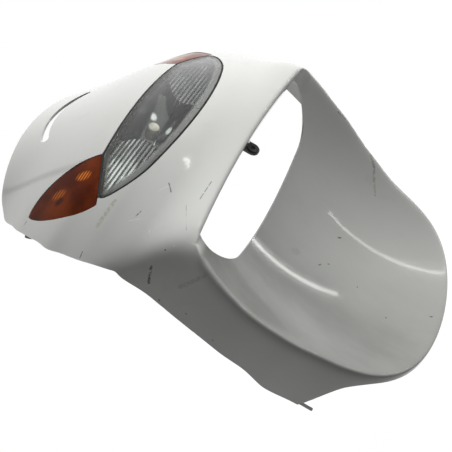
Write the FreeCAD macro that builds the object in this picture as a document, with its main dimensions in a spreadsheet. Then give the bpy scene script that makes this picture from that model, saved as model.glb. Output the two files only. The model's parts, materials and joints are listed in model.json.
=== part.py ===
"""Scooter front cover with its built-in headlight and indicators, in millimetres.

The vehicle's front faces -Y and +Z is up. Shapes are drawn about the headlight's centre,
and every sub-part is then placed so that the origin is the hole of the centre stay.
"""
import FreeCAD, Part
import math
import os

Vector = FreeCAD.Vector
Placement = FreeCAD.Placement
Rotation = FreeCAD.Rotation

# Sections of the styling surface, from the nose's top to the tongue's tip: the section's
# height, its front, its half width, how far it bows back at that half width and how far
# its rolled corner turns back there.
STATIONS = {
    "crown": (185, 172, 150, 70, 0),
    "bonnet": (130, 112, 165, 82, 0),
    "temple": (80, 58, 186, 66, 0),
    "brow": (40, 21, 198, 62, 0),
    "lamp": (20, 8, 203, 66, 0),
    "cheek": (-10, -4, 207, 64, 0),
    "waist": (-45, -9, 207, 51, 10),
    "lip": (-85, -9, 204, 12.5, 54),
    "jowl": (-100, -9, 203, 8, 58),
    "flank": (-170, 8, 201, 16, 66),
    "hip": (-230, 22, 189, 29, 75),
    "knee": (-285, 37, 174, 30, 82),
    "heel": (-340, 42, 165, 24, 80),
    "toe": (-402, 44, 160, 12, 80),
}
STATION_SIZES = ("height", "front", "half", "bow", "roll")

# Rear edge of the covers in the side view: depth behind the headlight's centre, and height.
# It is one sweep down to the notch and one on to the corner.
REAR_EDGE = {
    "crest": (140, 185),
    "top": (152.5, 162),
    "peak": (161.5, 134),
    "nape": (154.5, 114),
    "shoulder": (131, 91),
    "seam": (110, 69),
    "elbow": (90, 45),
    "side": (77.5, 21),
    "cheek": (62, -12),
    "notch": (54.5, -41),
    "flank": (66, -82),
    "haunch": (92, -158),
    "hip": (111, -202),
    "knee": (137, -241),
    "corner": (152, -284),
}

# Depth of the tongue's wall behind the wheel arch, and its height. Above the corner this
# lies past the rear edge.
TONGUE_WALL = {
    "lead": (145, -250),
    "corner": (86, -284),
    "shin": (27, -318),
    "ankle": (13, -345),
    "toe": (9, -370),
    "tip": (7, -402),
}

# Other driving sizes.
SIZES = {
    "roll_power": 14,
    "wall": 3,
    # wheel arch: a hollow about the front axle, fuller towards its sides
    "arch_radius": 317,
    "axle_depth": -202,
    "axle_height": -295,
    "arch_flare": 49,
    "arch_half": 175,
    "lip_height": -89,
    "lip_droop": 10,
    "lip_depth": 8,
    "lip_round": 5,
    # tongue, whose walls draw together to its tip
    "tongue_start": -260,
    "tongue_end": -402,
    "tongue_power": 1.5,
    # opening for the fork
    "fork_half": 156,
    "fork_side_half": 138,
    "fork_side_height": -126,
    "fork_shoulder_half": 104,
    "fork_shoulder_height": -143.5,
    "fork_bottom": -150,
    "fork_round": 14,
    "seam_gap": 0.6,
    "seam_drop": 8,
    # slot in the nose
    "slot_half": 52,
    "slot_crest": 139,
    "slot_end": 126,
    "slot_width": 8,
    # headlight window
    "lens_corner_half": 95,
    "lens_corner_height": 38.5,
    "lens_top": 43.5,
    "lens_end_half": 149,
    "lens_end_height": 14,
    "lens_knee_half": 99,
    "lens_knee_height": -13,
    "lens_belly_half": 128,
    "lens_belly_height": -1.5,
    "lens_bottom": -23.5,
    "lens_round": 4,
    "lens_wall": 3,
    "flush": 0.4,
    "seal_width": 2.5,
    "seal_depth": 4,
    # headlight housing and reflector
    "housing_wall": 2.4,
    "housing_rim": 0.6,
    "housing_knee": 58,
    "housing_back": 100,
    "housing_draft": 0.9,
    "reflector_gap": 0.4,
    "reflector_wall": 2,
    "reflector_floor": 62,
    "reflector_setback": 3,
    "bulb_height": 18,
    "bowl_vertex": 93,
    "bowl_focus": 17,
    "flute_count": 8,
    "flute_pitch": 6.5,
    "flute_radius": 3.4,
    "flute_start": 52,
    "bulb_radius": 7.5,
    "bulb_length": 48,
    "bulb_clearance": 1,
    "base_radius": 12,
    "base_flange_radius": 17,
    "base_flange": 3,
    "base_tail_radius": 6,
    "base_tail": 24,
    "boot_radius": 21,
    "boot_length": 22,
    "boot_wall": 3,
    "aimer_height": -11.5,
    "aimer_radius": 3,
    "aimer_length": 20,
    "aimer_knob_radius": 6.5,
    "aimer_knob_length": 8,
    # fastening of the headlight
    "boss_radius": 5,
    "ear_thickness": 3,
    "ear_radius": 7.5,
    "upper_ear_across": 62,
    "upper_ear_height": 60,
    "upper_ear_standoff": 16,
    "lower_ear_across": 72,
    "lower_ear_height": -40,
    "lower_ear_standoff": 34.5,
    "screw_radius": 2,
    "screw_length": 12,
    "screw_head_radius": 4.5,
    "screw_head": 2.6,
    # indicators
    "leaf_gap": 0.8,
    "leaf_overhang": 6,
    "leaf_brow_half": 116,
    "leaf_brow_height": 67,
    "leaf_tip_half": 166,
    "leaf_tip_height": 78,
    "leaf_cheek_half": 174.5,
    "leaf_cheek_height": 48,
    "leaf_wall": 2.5,
    "leaf_depth": 22,
    "leaf_housing_wall": 2,
    "leaf_housing_rim": 0.5,
    "blinker_across": 138,
    "blinker_height": 51,
    "blinker_radius": 6,
    "blinker_length": 16,
    "socket_radius": 9,
    "socket_length": 14,
    "socket_flange_radius": 11.5,
    "socket_flange": 3,
    "socket_tail_radius": 7,
    "socket_tail": 9,
    "socket_wall": 3,
    "lug_across": 117,
    "lug_height": 85,
    "lug_standoff": 17.5,
    # centre stay, with the hole that is the part's origin
    "stay_width": 24,
    "stay_plate": 2.5,
    "stay_foot": 12,
    "stay_screw_length": 7,
    "stay_drop": 19,
    "stay_hole_drop": 10.5,
    "stay_hole_radius": 4.5,
    "grommet_bore": 3,
    "grommet_rim": 6.5,
    "grommet_length": 6,
    # locating pegs of the lower cover
    "peg_radius": 2,
    "peg_length": 16,
    "peg_root": 12,
    "peg_inset": 2.5,
    # fixing tabs and their spring clips
    "tab_width": 18,
    "tab_plate": 2.5,
    "tab_setback": 6,
    "tab_hole": 3,
    "clip_plate": 0.8,
    "clip_width": 12,
    "clip_length": 14,
    "temple_tab_height": 103,
    "temple_tab_across": 100,
    "waist_tab_height": -66,
    "waist_tab_across": 176,
    "knee_tab_height": -236,
    "knee_tab_across": 160,
}

doc = FreeCAD.newDocument("scooter_front_cover")
sheet = doc.addObject("Spreadsheet::Sheet", "sizes")


def fill_sheet():
    """Write every driving size to the sheet as a plain number with an alias."""
    cells = {}
    for name, values in STATIONS.items():
        for what, value in zip(STATION_SIZES, values):
            cells[f"{name}_{what}"] = value
    for name, (depth, height) in REAR_EDGE.items():
        cells[f"rear_{name}_depth"] = depth
        cells[f"rear_{name}_height"] = height
    for name, (depth, height) in TONGUE_WALL.items():
        cells[f"tongue_{name}_depth"] = depth
        cells[f"tongue_{name}_height"] = height
    cells.update(SIZES)
    for row, (alias, value) in enumerate(cells.items(), start=1):
        sheet.set(f"A{row}", alias)
        sheet.set(f"B{row}", str(value))
        sheet.setAlias(f"B{row}", alias)
    doc.recompute()


def size(alias):
    """Value of one cell of the sheet."""
    return float(sheet.get(alias))


def monotone_cubic(knots):
    """A smooth function through the knots that never overshoots between them."""
    knots = sorted(knots)
    steps = [after[0] - before[0] for before, after in zip(knots, knots[1:])]
    chords = [(b[1] - a[1]) / step for a, b, step in zip(knots, knots[1:], steps)]
    slopes = [chords[0]]
    for before, after in zip(chords, chords[1:]):
        turns = before * after <= 0
        slopes.append(0.0 if turns else 2 * before * after / (before + after))
    slopes.append(chords[-1])

    def value(place):
        place = min(max(place, knots[0][0]), knots[-1][0])
        index = sum(1 for knot in knots[1:-1] if knot[0] <= place)
        step = steps[index]
        along = (place - knots[index][0]) / step
        back = 1 - along
        return (knots[index][1] * (1 + 2 * along) * back ** 2
                + slopes[index] * step * along * back ** 2
                + knots[index + 1][1] * along ** 2 * (3 - 2 * along)
                - slopes[index + 1] * step * along ** 2 * back)

    return value


fill_sheet()
section = {
    what: monotone_cubic([(size(f"{name}_height"), size(f"{name}_{what}")) for name in STATIONS])
    for what in STATION_SIZES[1:]
}
WALL = size("wall")
FAR = 2 * size("arch_radius")
ORIGIN_AT = Vector(
    0,
    size("lip_depth") + size("stay_plate") / 2,
    size("lip_height") + size("wall") - size("stay_hole_drop"),
)
TO_MOUNT = Placement(-ORIGIN_AT, Rotation())


# Styling surface

def tongue_closing(height):
    """Share of the way to the tongue's tip, which closes the section's corners below the knee."""
    start = size("tongue_start")
    gone = max(0, (start - height) / (start - size("tongue_end")))
    return gone ** size("tongue_power")


def skin_depth(across, height):
    """Depth of the styling surface at a place of the front view."""
    share = abs(across) / section["half"](height)
    corner = math.hypot(share, tongue_closing(height)) ** size("roll_power")
    return (section["front"](height)
            + section["bow"](height) * share ** 2
            + section["roll"](height) * corner)


def skin_slant(across, height):
    """How much longer a step normal to the surface is when it is measured along Y."""
    step = 0.5
    sideways = (skin_depth(across + step, height) - skin_depth(across - step, height)) / (2 * step)
    upwards = (skin_depth(across, height + step) - skin_depth(across, height - step)) / (2 * step)
    return math.sqrt(1 + sideways ** 2 + upwards ** 2)


def skin_reach(height):
    """Half width at which the surface has passed well behind the covers' rear edge."""
    overrun = 1.3
    depth = section["bow"](height) + section["roll"](height)
    beyond = section["front"](height) + overrun * depth + 4 * WALL
    low, high = 8 * WALL, 2 * section["half"](height)
    while high - low > 0.01:
        middle = (low + high) / 2
        if skin_depth(middle, height) < beyond:
            low = middle
        else:
            high = middle
    return low


def behind_skin(inset):
    """Solid of everything behind the styling surface, set back by an inset."""
    columns, rows, crowding = 14, 56, 1.6
    bottom = size("tongue_end") - WALL
    top = size("crown_height")
    grid = []
    for row in range(rows + 1):
        height = bottom + (top - bottom) * (row / rows) ** crowding
        reach = skin_reach(height)
        line = []
        for column in range(-columns, columns + 1):
            across = reach * math.sin(math.pi / 2 * column / columns)
            depth = skin_depth(across, height)
            if inset:
                depth += inset * skin_slant(across, height)
            line.append(Vector(across, depth, height))
        grid.append(line)
    surface = Part.BSplineSurface()
    surface.interpolate(grid)
    return surface.toShape().extrude(Vector(0, FAR, 0))


def lip_level(across):
    """Height of the chin's lip, which droops towards its ends."""
    return size("lip_height") - size("lip_droop") * (across / size("arch_half")) ** 2


def arch_depth(across, height):
    """Depth of the wheel arch at a place of the front view."""
    drop = height - size("axle_height")
    flare = size("arch_flare") * (across / size("arch_half")) ** 2
    return size("axle_depth") + math.sqrt(size("arch_radius") ** 2 - drop ** 2) - flare


def wheel_space(grow):
    """Solid of the space for the wheel below the chin's lip, grown by the wall's inset."""
    columns, rows = 6, 10
    floor = size("tongue_end") - 10 * WALL
    reach = size("jowl_half") + 10 * WALL
    grid = []
    for row in range(rows + 1):
        line = []
        for column in range(-columns, columns + 1):
            across = reach * column / columns
            top = lip_level(across) + grow
            height = floor + (top - floor) * row / rows
            slope = 2 * size("arch_flare") * across / size("arch_half") ** 2
            drop = (height - size("axle_height")) / size("arch_radius")
            slant = math.sqrt(1 / (1 - drop ** 2) + slope ** 2)
            line.append(Vector(across, arch_depth(across, height) + grow * slant, height))
        grid.append(line)
    surface = Part.BSplineSurface()
    surface.interpolate(grid)
    return surface.toShape().extrude(Vector(0, -FAR, 0))


# Outlines of the front view

def outline(*runs):
    """Closed wire of the front view: a run of two points is a line, one of three an arc."""
    edges = []
    for run in runs:
        points = [Vector(across, 0, height) for across, height in run]
        curve = Part.LineSegment(*points) if len(points) == 2 else Part.Arc(*points)
        edges.append(curve.toShape())
    return Part.Wire(edges)


def rounded(wire, radius):
    """The wire with its outward corners rounded."""
    return wire.makeOffset2D(-radius).makeOffset2D(radius)


def prism(wire, near, far):
    """Solid of a front view outline between two depths."""
    face = Part.Face(wire)
    face.translate(Vector(0, near, 0))
    return face.extrude(Vector(0, far - near, 0))


def mirrored(shape):
    """The same shape on the other side of the vehicle."""
    return shape.mirror(Vector(), Vector(1, 0, 0))


def on_both_sides(shape):
    """A shape and its mirror image."""
    return [shape, mirrored(shape)]


def lens_outline():
    """Almond of the headlight lens."""
    corner = (size("lens_corner_half"), size("lens_corner_height"))
    end = (size("lens_end_half"), size("lens_end_height"))
    belly = (size("lens_belly_half"), size("lens_belly_height"))
    knee = (size("lens_knee_half"), size("lens_knee_height"))

    def left(point):
        return (-point[0], point[1])

    wire = outline(
        (left(corner), (0, size("lens_top")), corner),
        (corner, end),
        (end, belly, knee),
        (knee, (0, size("lens_bottom")), left(knee)),
        (left(knee), left(belly), left(end)),
        (left(end), left(corner)),
    )
    return rounded(wire, size("lens_round"))


def leaf_outline():
    """Leaf of the right indicator: its inner edge runs along the headlight's end."""
    corner = Vector(size("lens_corner_half"), 0, size("lens_corner_height"))
    end = Vector(size("lens_end_half"), 0, size("lens_end_height"))
    along = (end - corner).normalize()
    away = Vector(-along.z, 0, along.x) * (size("seal_width") + size("leaf_gap") / 2)
    start = corner + away
    finish = end + away + along * size("leaf_overhang")
    inner = (start.x, start.z)
    foot = (finish.x, finish.z)
    tip = (size("leaf_tip_half"), size("leaf_tip_height"))
    brow = (size("leaf_brow_half"), size("leaf_brow_height"))
    cheek = (size("leaf_cheek_half"), size("leaf_cheek_height"))
    return outline((inner, brow, tip), (tip, cheek, foot), (foot, inner))


def slot_outline():
    """Curved slot of the nose with round ends."""
    half, crest, end = size("slot_half"), size("slot_crest"), size("slot_end")
    rise = crest - end
    radius = (half ** 2 + rise ** 2) / (2 * rise)
    centre = crest - radius
    spread = math.asin(half / radius)

    def at(angle, offset):
        reach = radius + offset
        return (reach * math.sin(angle), centre + reach * math.cos(angle))

    edge = size("slot_width") / 2
    bulge = spread + edge / radius
    return outline(
        (at(-spread, edge), at(0, edge), at(spread, edge)),
        (at(spread, edge), at(bulge, 0), at(spread, -edge)),
        (at(spread, -edge), at(0, -edge), at(-spread, -edge)),
        (at(-spread, -edge), at(-bulge, 0), at(-spread, edge)),
    )


def fork_outline():
    """Half-moon of the fork opening, whose straight side lies above the lip's flange."""
    half, side, shoulder = size("fork_half"), size("fork_side_half"), size("fork_shoulder_half")
    side_height, shoulder_height = size("fork_side_height"), size("fork_shoulder_height")
    top = size("lip_height") + WALL + 1
    end = lip_level(half) + WALL + 1
    wire = outline(
        ((-half, end), (0, top), (half, end)),
        ((half, end), (side, side_height), (shoulder, shoulder_height)),
        ((shoulder, shoulder_height), (0, size("fork_bottom")), (-shoulder, shoulder_height)),
        ((-shoulder, shoulder_height), (-side, side_height), (-half, end)),
    )
    return rounded(wire, size("fork_round"))


def in_front_of_rear_edge():
    """Solid of everything in front of the covers' rear edge, from the side view."""
    front = size("axle_depth")
    floor = size("tongue_end") - WALL
    names = list(REAR_EDGE)
    points = [Vector(-FAR, size(f"rear_{name}_depth"), size(f"rear_{name}_height")) for name in names]
    bends = [0, names.index("notch"), len(names) - 1]
    edges = []
    for start, end in zip(bends, bends[1:]):
        sweep = Part.BSplineCurve()
        sweep.interpolate(points[start:end + 1])
        edges.append(sweep.toShape())
    corners = [points[-1], Vector(-FAR, points[-1].y, floor), Vector(-FAR, front, floor),
               Vector(-FAR, front, points[0].z), points[0]]
    edges += [Part.LineSegment(before, after).toShape() for before, after in zip(corners, corners[1:])]
    return Part.Face(Part.Wire(edges)).extrude(Vector(2 * FAR, 0, 0))


def behind_tongue_wall():
    """Solid of everything behind the tongue's wall, whose edge follows the wheel arch."""
    knots = [(size(f"tongue_{name}_height"), size(f"tongue_{name}_depth")) for name in TONGUE_WALL]
    wall_depth = monotone_cubic(knots)
    columns, rows = 6, 18
    top = size("tongue_lead_height")
    floor = size("tongue_end") - 10 * WALL
    reach = size("jowl_half") + 10 * WALL
    grid = []
    for row in range(rows + 1):
        height = floor + (top - floor) * row / rows
        line = []
        for column in range(-columns, columns + 1):
            across = reach * column / columns
            line.append(Vector(across, arch_depth(across, height) + wall_depth(height), height))
        grid.append(line)
    surface = Part.BSplineSurface()
    surface.interpolate(grid)
    return surface.toShape().extrude(Vector(0, FAR, 0))


def bar(start, end, radius, near, far):
    """Flat lug with round ends between two places of the front view."""
    first = Part.makeCylinder(radius, far - near, Vector(start[0], near, start[1]), Vector(0, 1, 0))
    last = Part.makeCylinder(radius, far - near, Vector(end[0], near, end[1]), Vector(0, 1, 0))
    along = Vector(end[0] - start[0], 0, end[1] - start[1])
    side = Vector(along.z, 0, -along.x).normalize() * radius
    corners = [Vector(start[0], near, start[1]) + side, Vector(end[0], near, end[1]) + side,
               Vector(end[0], near, end[1]) - side, Vector(start[0], near, start[1]) - side]
    web = Part.Face(Part.makePolygon(corners + corners[:1])).extrude(Vector(0, far - near, 0))
    return first.fuse([last, web])


def rod(across, height, radius, near, far):
    """Round bar along Y."""
    return Part.makeCylinder(radius, far - near, Vector(across, near, height), Vector(0, 1, 0))


def add_node(label, shape):
    """Sub-part whose shape is set here, placed so that the stay's hole is the origin."""
    node = doc.addObject("Part::Feature", label)
    node.Label = label
    node.Shape = shape.removeSplitter()
    node.Placement = TO_MOUNT
    nodes.append(node)
    return node


nodes = []


def stood_off(name):
    """Place of a screwed ear: across, height, and a depth that stands off the skin."""
    across, height = size(f"{name}_across"), size(f"{name}_height")
    return across, height, skin_depth(across, height) + size(f"{name}_standoff")


ears = {"upper": stood_off("upper_ear"), "lower": stood_off("lower_ear")}
lug = stood_off("lug")


# Covers

def tab(name, depth):
    """Fixing tab inside the right wall, with its hole."""
    inner = size(f"{name}_tab_across")
    middle = size(f"{name}_tab_height")
    length = wall_across(depth + size("tab_plate"), middle - size("tab_width") / 2) - inner
    plate = Part.makeBox(length, size("tab_plate"), size("tab_width"),
                         Vector(inner, depth, middle - size("tab_width") / 2))
    hole = rod(inner + size("clip_length") / 2, middle, size("tab_hole"), depth - WALL, depth + 2 * WALL)
    return plate.cut(hole)


def rear_depth(height):
    """Depth of the covers' rear edge at a height."""
    points = [(size(f"rear_{name}_height"), size(f"rear_{name}_depth")) for name in REAR_EDGE]
    for above, below in zip(points, points[1:]):
        if below[0] <= height <= above[0]:
            part = (height - below[0]) / (above[0] - below[0])
            return below[1] + part * (above[1] - below[1])
    return points[-1][1]


def tab_depth(name):
    """Front face of a fixing tab, a little in front of the covers' rear edge."""
    return rear_depth(size(f"{name}_tab_height")) - size("tab_setback") - size("tab_plate")


def wall_across(depth, height):
    """Half width of the styling surface at a depth and a height."""
    low, high = 0.0, 2 * section["half"](height)
    while high - low > 0.01:
        middle = (low + high) / 2
        if skin_depth(middle, height) < depth:
            low = middle
        else:
            high = middle
    return low


def screwed_boss(across, height, depth):
    """Boss behind the right side's skin up to a depth, and its pilot hole."""
    boss = rod(across, height, size("boss_radius"), -FAR, depth).common(skin_root)
    hole = rod(across, height, size("screw_radius"),
               depth + size("ear_thickness") - size("screw_length"), depth)
    return boss, hole


def above_seam(shift):
    """Solid above the line that parts the covers, which runs through the lamps' window."""
    top = size("crown_height") + WALL
    wide = size("cheek_half") + 10 * WALL
    tip = (size("leaf_tip_half"), size("leaf_tip_height"))
    path = [
        (wide, tip[1] - size("seam_drop")),
        tip,
        (size("blinker_across"), size("blinker_height")),
        (size("lens_corner_half"), size("lens_corner_height")),
    ]
    points = path + [(0, 0)] + [(-across, height) for across, height in reversed(path)]
    points += [(-wide, top), (wide, top)]
    corners = [Vector(across, 0, height + shift) for across, height in points]
    return prism(Part.makePolygon(corners + corners[:1]), -FAR, FAR)


def peg():
    """Locating peg at the right wall's lower corner, which points down past the wall's edge."""
    corner = Vector(0, size("rear_corner_depth"), size("rear_corner_height"))
    fall = size("tongue_corner_depth") - size("tongue_shin_depth")
    drop = size("tongue_corner_height") - size("tongue_shin_height")
    depth = corner.y - size("peg_inset")
    edge = corner.z - size("peg_inset") * drop / fall
    across = wall_across(depth, edge) - WALL / 2
    return Part.makeCylinder(size("peg_radius"), size("peg_root") + size("peg_length"),
                             Vector(across, depth, edge + size("peg_root")), Vector(0, 0, -1))


def on_lip(edge):
    """Whether an edge runs along the front of the chin's lip."""
    place = edge.valueAt((edge.FirstParameter + edge.LastParameter) / 2)
    level = abs(place.z - lip_level(place.x)) < WALL / 10
    return level and abs(place.y - skin_depth(place.x, place.z)) < WALL / 10


skin_outer = behind_skin(0)
skin_root = behind_skin(WALL / 2)
skin_inner = behind_skin(WALL)
lens_wire = lens_outline()
leaf_wire = leaf_outline()

outer = skin_outer.common(in_front_of_rear_edge()).cut([wheel_space(0), behind_tongue_wall()])
outer = outer.makeFillet(size("lip_round"), [edge for edge in outer.Edges if on_lip(edge)])
inner = skin_inner.cut(wheel_space(WALL))
shell = outer.cut(inner)
window = prism(lens_wire.makeOffset2D(size("seal_width")), -FAR, FAR)
window = window.fuse(on_both_sides(prism(leaf_wire.makeOffset2D(size("leaf_gap")), -FAR, FAR)))
shell = shell.cut(window)
shell = shell.cut(prism(fork_outline(), size("lip_depth"), FAR))
shell = shell.cut(prism(slot_outline(), -FAR, FAR))

upper_boss, upper_pilot = screwed_boss(*ears["upper"])
lower_boss, lower_pilot = screwed_boss(*ears["lower"])
lug_boss, lug_pilot = screwed_boss(*lug)
upper_adds = [upper_boss, lug_boss, tab("temple", tab_depth("temple")).common(skin_root)]
lower_adds = [lower_boss, peg()]
lower_adds += [tab(name, tab_depth(name)).common(skin_root) for name in ("waist", "knee")]
upper_adds = [side for shape in upper_adds for side in on_both_sides(shape)]
lower_adds = [side for shape in lower_adds for side in on_both_sides(shape)]
stay_screw_hole = Part.makeCylinder(
    size("screw_radius"), 4 * WALL,
    Vector(0, size("lip_depth") - size("stay_foot") / 2, size("lip_height") - WALL))

upper_cover = shell.common(above_seam(size("seam_gap") / 2)).fuse(upper_adds)
upper_cover = upper_cover.cut(on_both_sides(upper_pilot) + on_both_sides(lug_pilot))
lower_cover = shell.cut(above_seam(-size("seam_gap") / 2)).fuse(lower_adds)
lower_cover = lower_cover.cut(on_both_sides(lower_pilot) + [stay_screw_hole])
add_node("upper_cover", upper_cover)
add_node("lower_cover", lower_cover)


# Headlight

def bucket(wire, rim, back):
    """Solid behind the lens: straight as far as the knee, then drawn in to its back."""
    knee = size("housing_knee")
    middle = Vector(0, 0, (size("lens_top") + size("lens_bottom")) / 2)
    front_end = wire.copy()
    front_end.translate(Vector(0, knee, 0))
    rear_end = wire.copy().scale(size("housing_draft"), middle)
    rear_end.translate(Vector(0, back, 0))
    drawn = Part.makeLoft([front_end, rear_end], True, True)
    return prism(wire, -FAR, knee).common(rim).fuse(drawn)


def bowl(vertex, front):
    """Solid paraboloid about the bulb's axis, from a front plane to its vertex."""
    focus = size("bowl_focus")
    brim = math.sqrt(4 * focus * (vertex - front))
    steps = 6
    places = [brim * step / steps for step in range(steps + 1)]
    curve = Part.BSplineCurve()
    curve.interpolate([Vector(place, vertex - place ** 2 / (4 * focus), 0) for place in places])
    edges = [
        curve.toShape(),
        Part.LineSegment(Vector(brim, front, 0), Vector(0, front, 0)).toShape(),
        Part.LineSegment(Vector(0, front, 0), Vector(0, vertex, 0)).toShape(),
    ]
    solid = Part.Face(Part.Wire(edges)).revolve(Vector(), Vector(0, 1, 0), 360)
    solid.translate(Vector(0, 0, size("bulb_height")))
    return solid


lens_back = size("flush") + size("lens_wall")
skin_flush = behind_skin(size("flush"))
skin_lens_back = behind_skin(lens_back)
headlight_lens = prism(lens_wire, -FAR, FAR).common(skin_flush).cut(skin_lens_back)
add_node("headlight_lens", headlight_lens)

seal_front = behind_skin(2 * size("flush"))
seal_back = behind_skin(2 * size("flush") + size("seal_depth"))
seal_ring = prism(lens_wire.makeOffset2D(size("seal_width")), -FAR, FAR).cut(prism(lens_wire, -FAR, FAR))
add_node("headlight_seal", seal_ring.common(seal_front).cut(seal_back))

rim = size("housing_rim")
housing_wall = size("housing_wall")
housing_back = size("housing_back")
cavity = bucket(lens_wire.makeOffset2D(-rim - housing_wall), skin_lens_back, housing_back - housing_wall)
housing = bucket(lens_wire.makeOffset2D(-rim), skin_lens_back, housing_back)
ear_shapes = []
for across, height, depth in ears.values():
    middle = (size("lens_top") + size("lens_bottom")) / 2
    ear = bar((across, height), (across, middle), size("ear_radius"), depth, depth + size("ear_thickness"))
    ear = ear.cut(rod(across, height, size("screw_radius"), depth - WALL, depth + 2 * size("ear_thickness")))
    ear_shapes += on_both_sides(ear)
housing = housing.fuse(ear_shapes).cut(cavity)
housing = housing.cut(rod(0, size("bulb_height"), size("base_radius") + size("bulb_clearance"), 0, FAR))
add_node("headlight_housing", housing)

reflector_wall = size("reflector_wall")
floor = size("reflector_floor")
vertex = size("bowl_vertex")
reflector_wire = lens_wire.makeOffset2D(-rim - housing_wall - size("reflector_gap"))
reflector_inner_wire = lens_wire.makeOffset2D(-rim - housing_wall - size("reflector_gap") - reflector_wall)
reflector_rim = behind_skin(lens_back + size("reflector_setback"))
deep = housing_back - housing_wall - size("reflector_gap")
outside = bucket(reflector_wire, reflector_rim, deep)
inside = bucket(reflector_inner_wire, reflector_rim, deep)
wings = Part.makeBox(2 * FAR, FAR + floor, 2 * FAR, Vector(-FAR, -FAR, -FAR))
wings_back = Part.makeBox(2 * FAR, FAR + floor + reflector_wall, 2 * FAR, Vector(-FAR, -FAR, -FAR))
hollow = inside.common(wings.fuse(bowl(vertex, 0)))
reflector = outside.common(wings_back.fuse(bowl(vertex + reflector_wall, 0))).cut(hollow)
flutes = []
for step in range(int(size("flute_count"))):
    height = size("lens_bottom") + (step + 1) * size("flute_pitch")
    flute = Part.makeCylinder(size("flute_radius"), size("lens_end_half"),
                              Vector(size("flute_start"), floor, height), Vector(1, 0, 0))
    flutes += on_both_sides(flute.common(inside))
reflector = reflector.fuse(flutes)
reflector = reflector.cut(rod(0, size("bulb_height"), size("bulb_radius") + size("bulb_clearance"), 0, FAR))
add_node("headlight_reflector", reflector)

bulb_seat = vertex + reflector_wall
bulb_tip = bulb_seat - size("bulb_length") + size("bulb_radius")
glass = rod(0, size("bulb_height"), size("bulb_radius"), bulb_tip, bulb_seat)
glass = glass.fuse(Part.makeSphere(size("bulb_radius"), Vector(0, bulb_tip, size("bulb_height"))))
add_node("headlight_bulb", glass)


# Turned pieces: cylinders on an axis, each bound to the sheet

BACKWARDS = Rotation(Vector(1, 0, 0), -90)
FORWARDS = Rotation(Vector(1, 0, 0), 90)
DOWN = Rotation(Vector(1, 0, 0), 180)


def cylinder(label, radius, length, place):
    """Cylinder whose radius and length are expressions of the sheet."""
    part = doc.addObject("Part::Cylinder", label)
    part.setExpression("Radius", radius)
    part.setExpression("Height", length)
    part.Placement = place
    return part


def joined(label, parts):
    """One object for a list of parts: the part itself, or their fusion."""
    if len(parts) == 1:
        return parts[0]
    fusion = doc.addObject("Part::MultiFuse", label)
    fusion.Shapes = parts
    return fusion


def turned(label, steps, at, turn, bores=()):
    """Node of cylinders on one axis: each step and bore has a radius, a length and a start."""
    axis = TO_MOUNT.multiply(Placement(at, turn))

    def on_axis(name, sizes):
        radius, length, start = sizes
        return cylinder(name, radius, length, axis.multiply(Placement(Vector(0, 0, start), Rotation())))

    node = joined(label, [on_axis(f"{label}_step{n}", sizes) for n, sizes in enumerate(steps)])
    if bores:
        solid = node
        drills = [on_axis(f"{label}_drill{n}", sizes) for n, sizes in enumerate(bores)]
        node = doc.addObject("Part::Cut", f"{label}_bored")
        node.Base = solid
        node.Tool = joined(f"{label}_drills", drills)
        solid.Label = f"{label}_solid"
    node.Label = label
    nodes.append(node)


def screw(label, at, turn, length="sizes.screw_length"):
    """Pan head screw that stands on a point and drives into it."""
    steps = [
        ("sizes.screw_head_radius", "sizes.screw_head", -size("screw_head")),
        ("sizes.screw_radius", length, 0),
    ]
    turned(label, steps, at, turn)


bulb_axis = Vector(0, housing_back, size("bulb_height"))
turned("bulb_base", [
    ("sizes.base_radius", f"{housing_back - bulb_seat} + sizes.base_flange", bulb_seat - housing_back),
    ("sizes.base_flange_radius", "sizes.base_flange", 0),
    ("sizes.base_tail_radius", "sizes.base_tail", size("base_flange")),
], bulb_axis, BACKWARDS)
turned("bulb_boot", [("sizes.boot_radius", "sizes.boot_length", 0)], bulb_axis, BACKWARDS, bores=[
    ("sizes.boot_radius - sizes.boot_wall", "sizes.boot_length - sizes.boot_wall", 0),
    ("sizes.base_tail_radius", "sizes.boot_length", 0),
])
turned("aiming_screw", [
    ("sizes.aimer_radius", "sizes.aimer_length", 0),
    ("sizes.aimer_knob_radius", "sizes.aimer_knob_length", size("aimer_length")),
], Vector(0, housing_back, size("aimer_height")), BACKWARDS)


# Indicators

leaf_back = size("flush") + size("leaf_wall")
skin_leaf_back = behind_skin(leaf_back)
skin_leaf_floor = behind_skin(size("leaf_depth") - size("leaf_housing_wall"))
skin_leaf_rear = behind_skin(size("leaf_depth"))
leaf_lens = prism(leaf_wire, -FAR, FAR).common(skin_flush).cut(skin_leaf_back)
leaf_rim = size("leaf_housing_rim")
leaf_box = prism(leaf_wire.makeOffset2D(-leaf_rim), -FAR, FAR).common(skin_leaf_back)
leaf_room = prism(leaf_wire.makeOffset2D(-leaf_rim - size("leaf_housing_wall")), -FAR, FAR)
leaf_room = leaf_room.common(skin_leaf_back).cut(skin_leaf_floor)
across, height = size("blinker_across"), size("blinker_height")
seat = lug[2] + size("ear_thickness")
collar = rod(across, height, size("socket_radius") + size("socket_wall"), 0, seat).common(skin_leaf_floor)
lug_plate = bar(lug[:2], (across, height), size("ear_radius"), lug[2], lug[2] + size("ear_thickness"))
lug_plate = lug_plate.cut(rod(lug[0], lug[1], size("screw_radius"), 0, FAR))
leaf_housing = leaf_box.cut(skin_leaf_rear).fuse([collar, lug_plate]).cut(leaf_room)
leaf_housing = leaf_housing.cut(rod(across, height, size("socket_radius"), 0, FAR))
blinker_base = seat - size("socket_length")
blinker_tip = blinker_base - size("blinker_length") + size("blinker_radius")
blinker = rod(across, height, size("blinker_radius"), blinker_tip, blinker_base)
blinker = blinker.fuse(Part.makeSphere(size("blinker_radius"), Vector(across, blinker_tip, height)))
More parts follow.
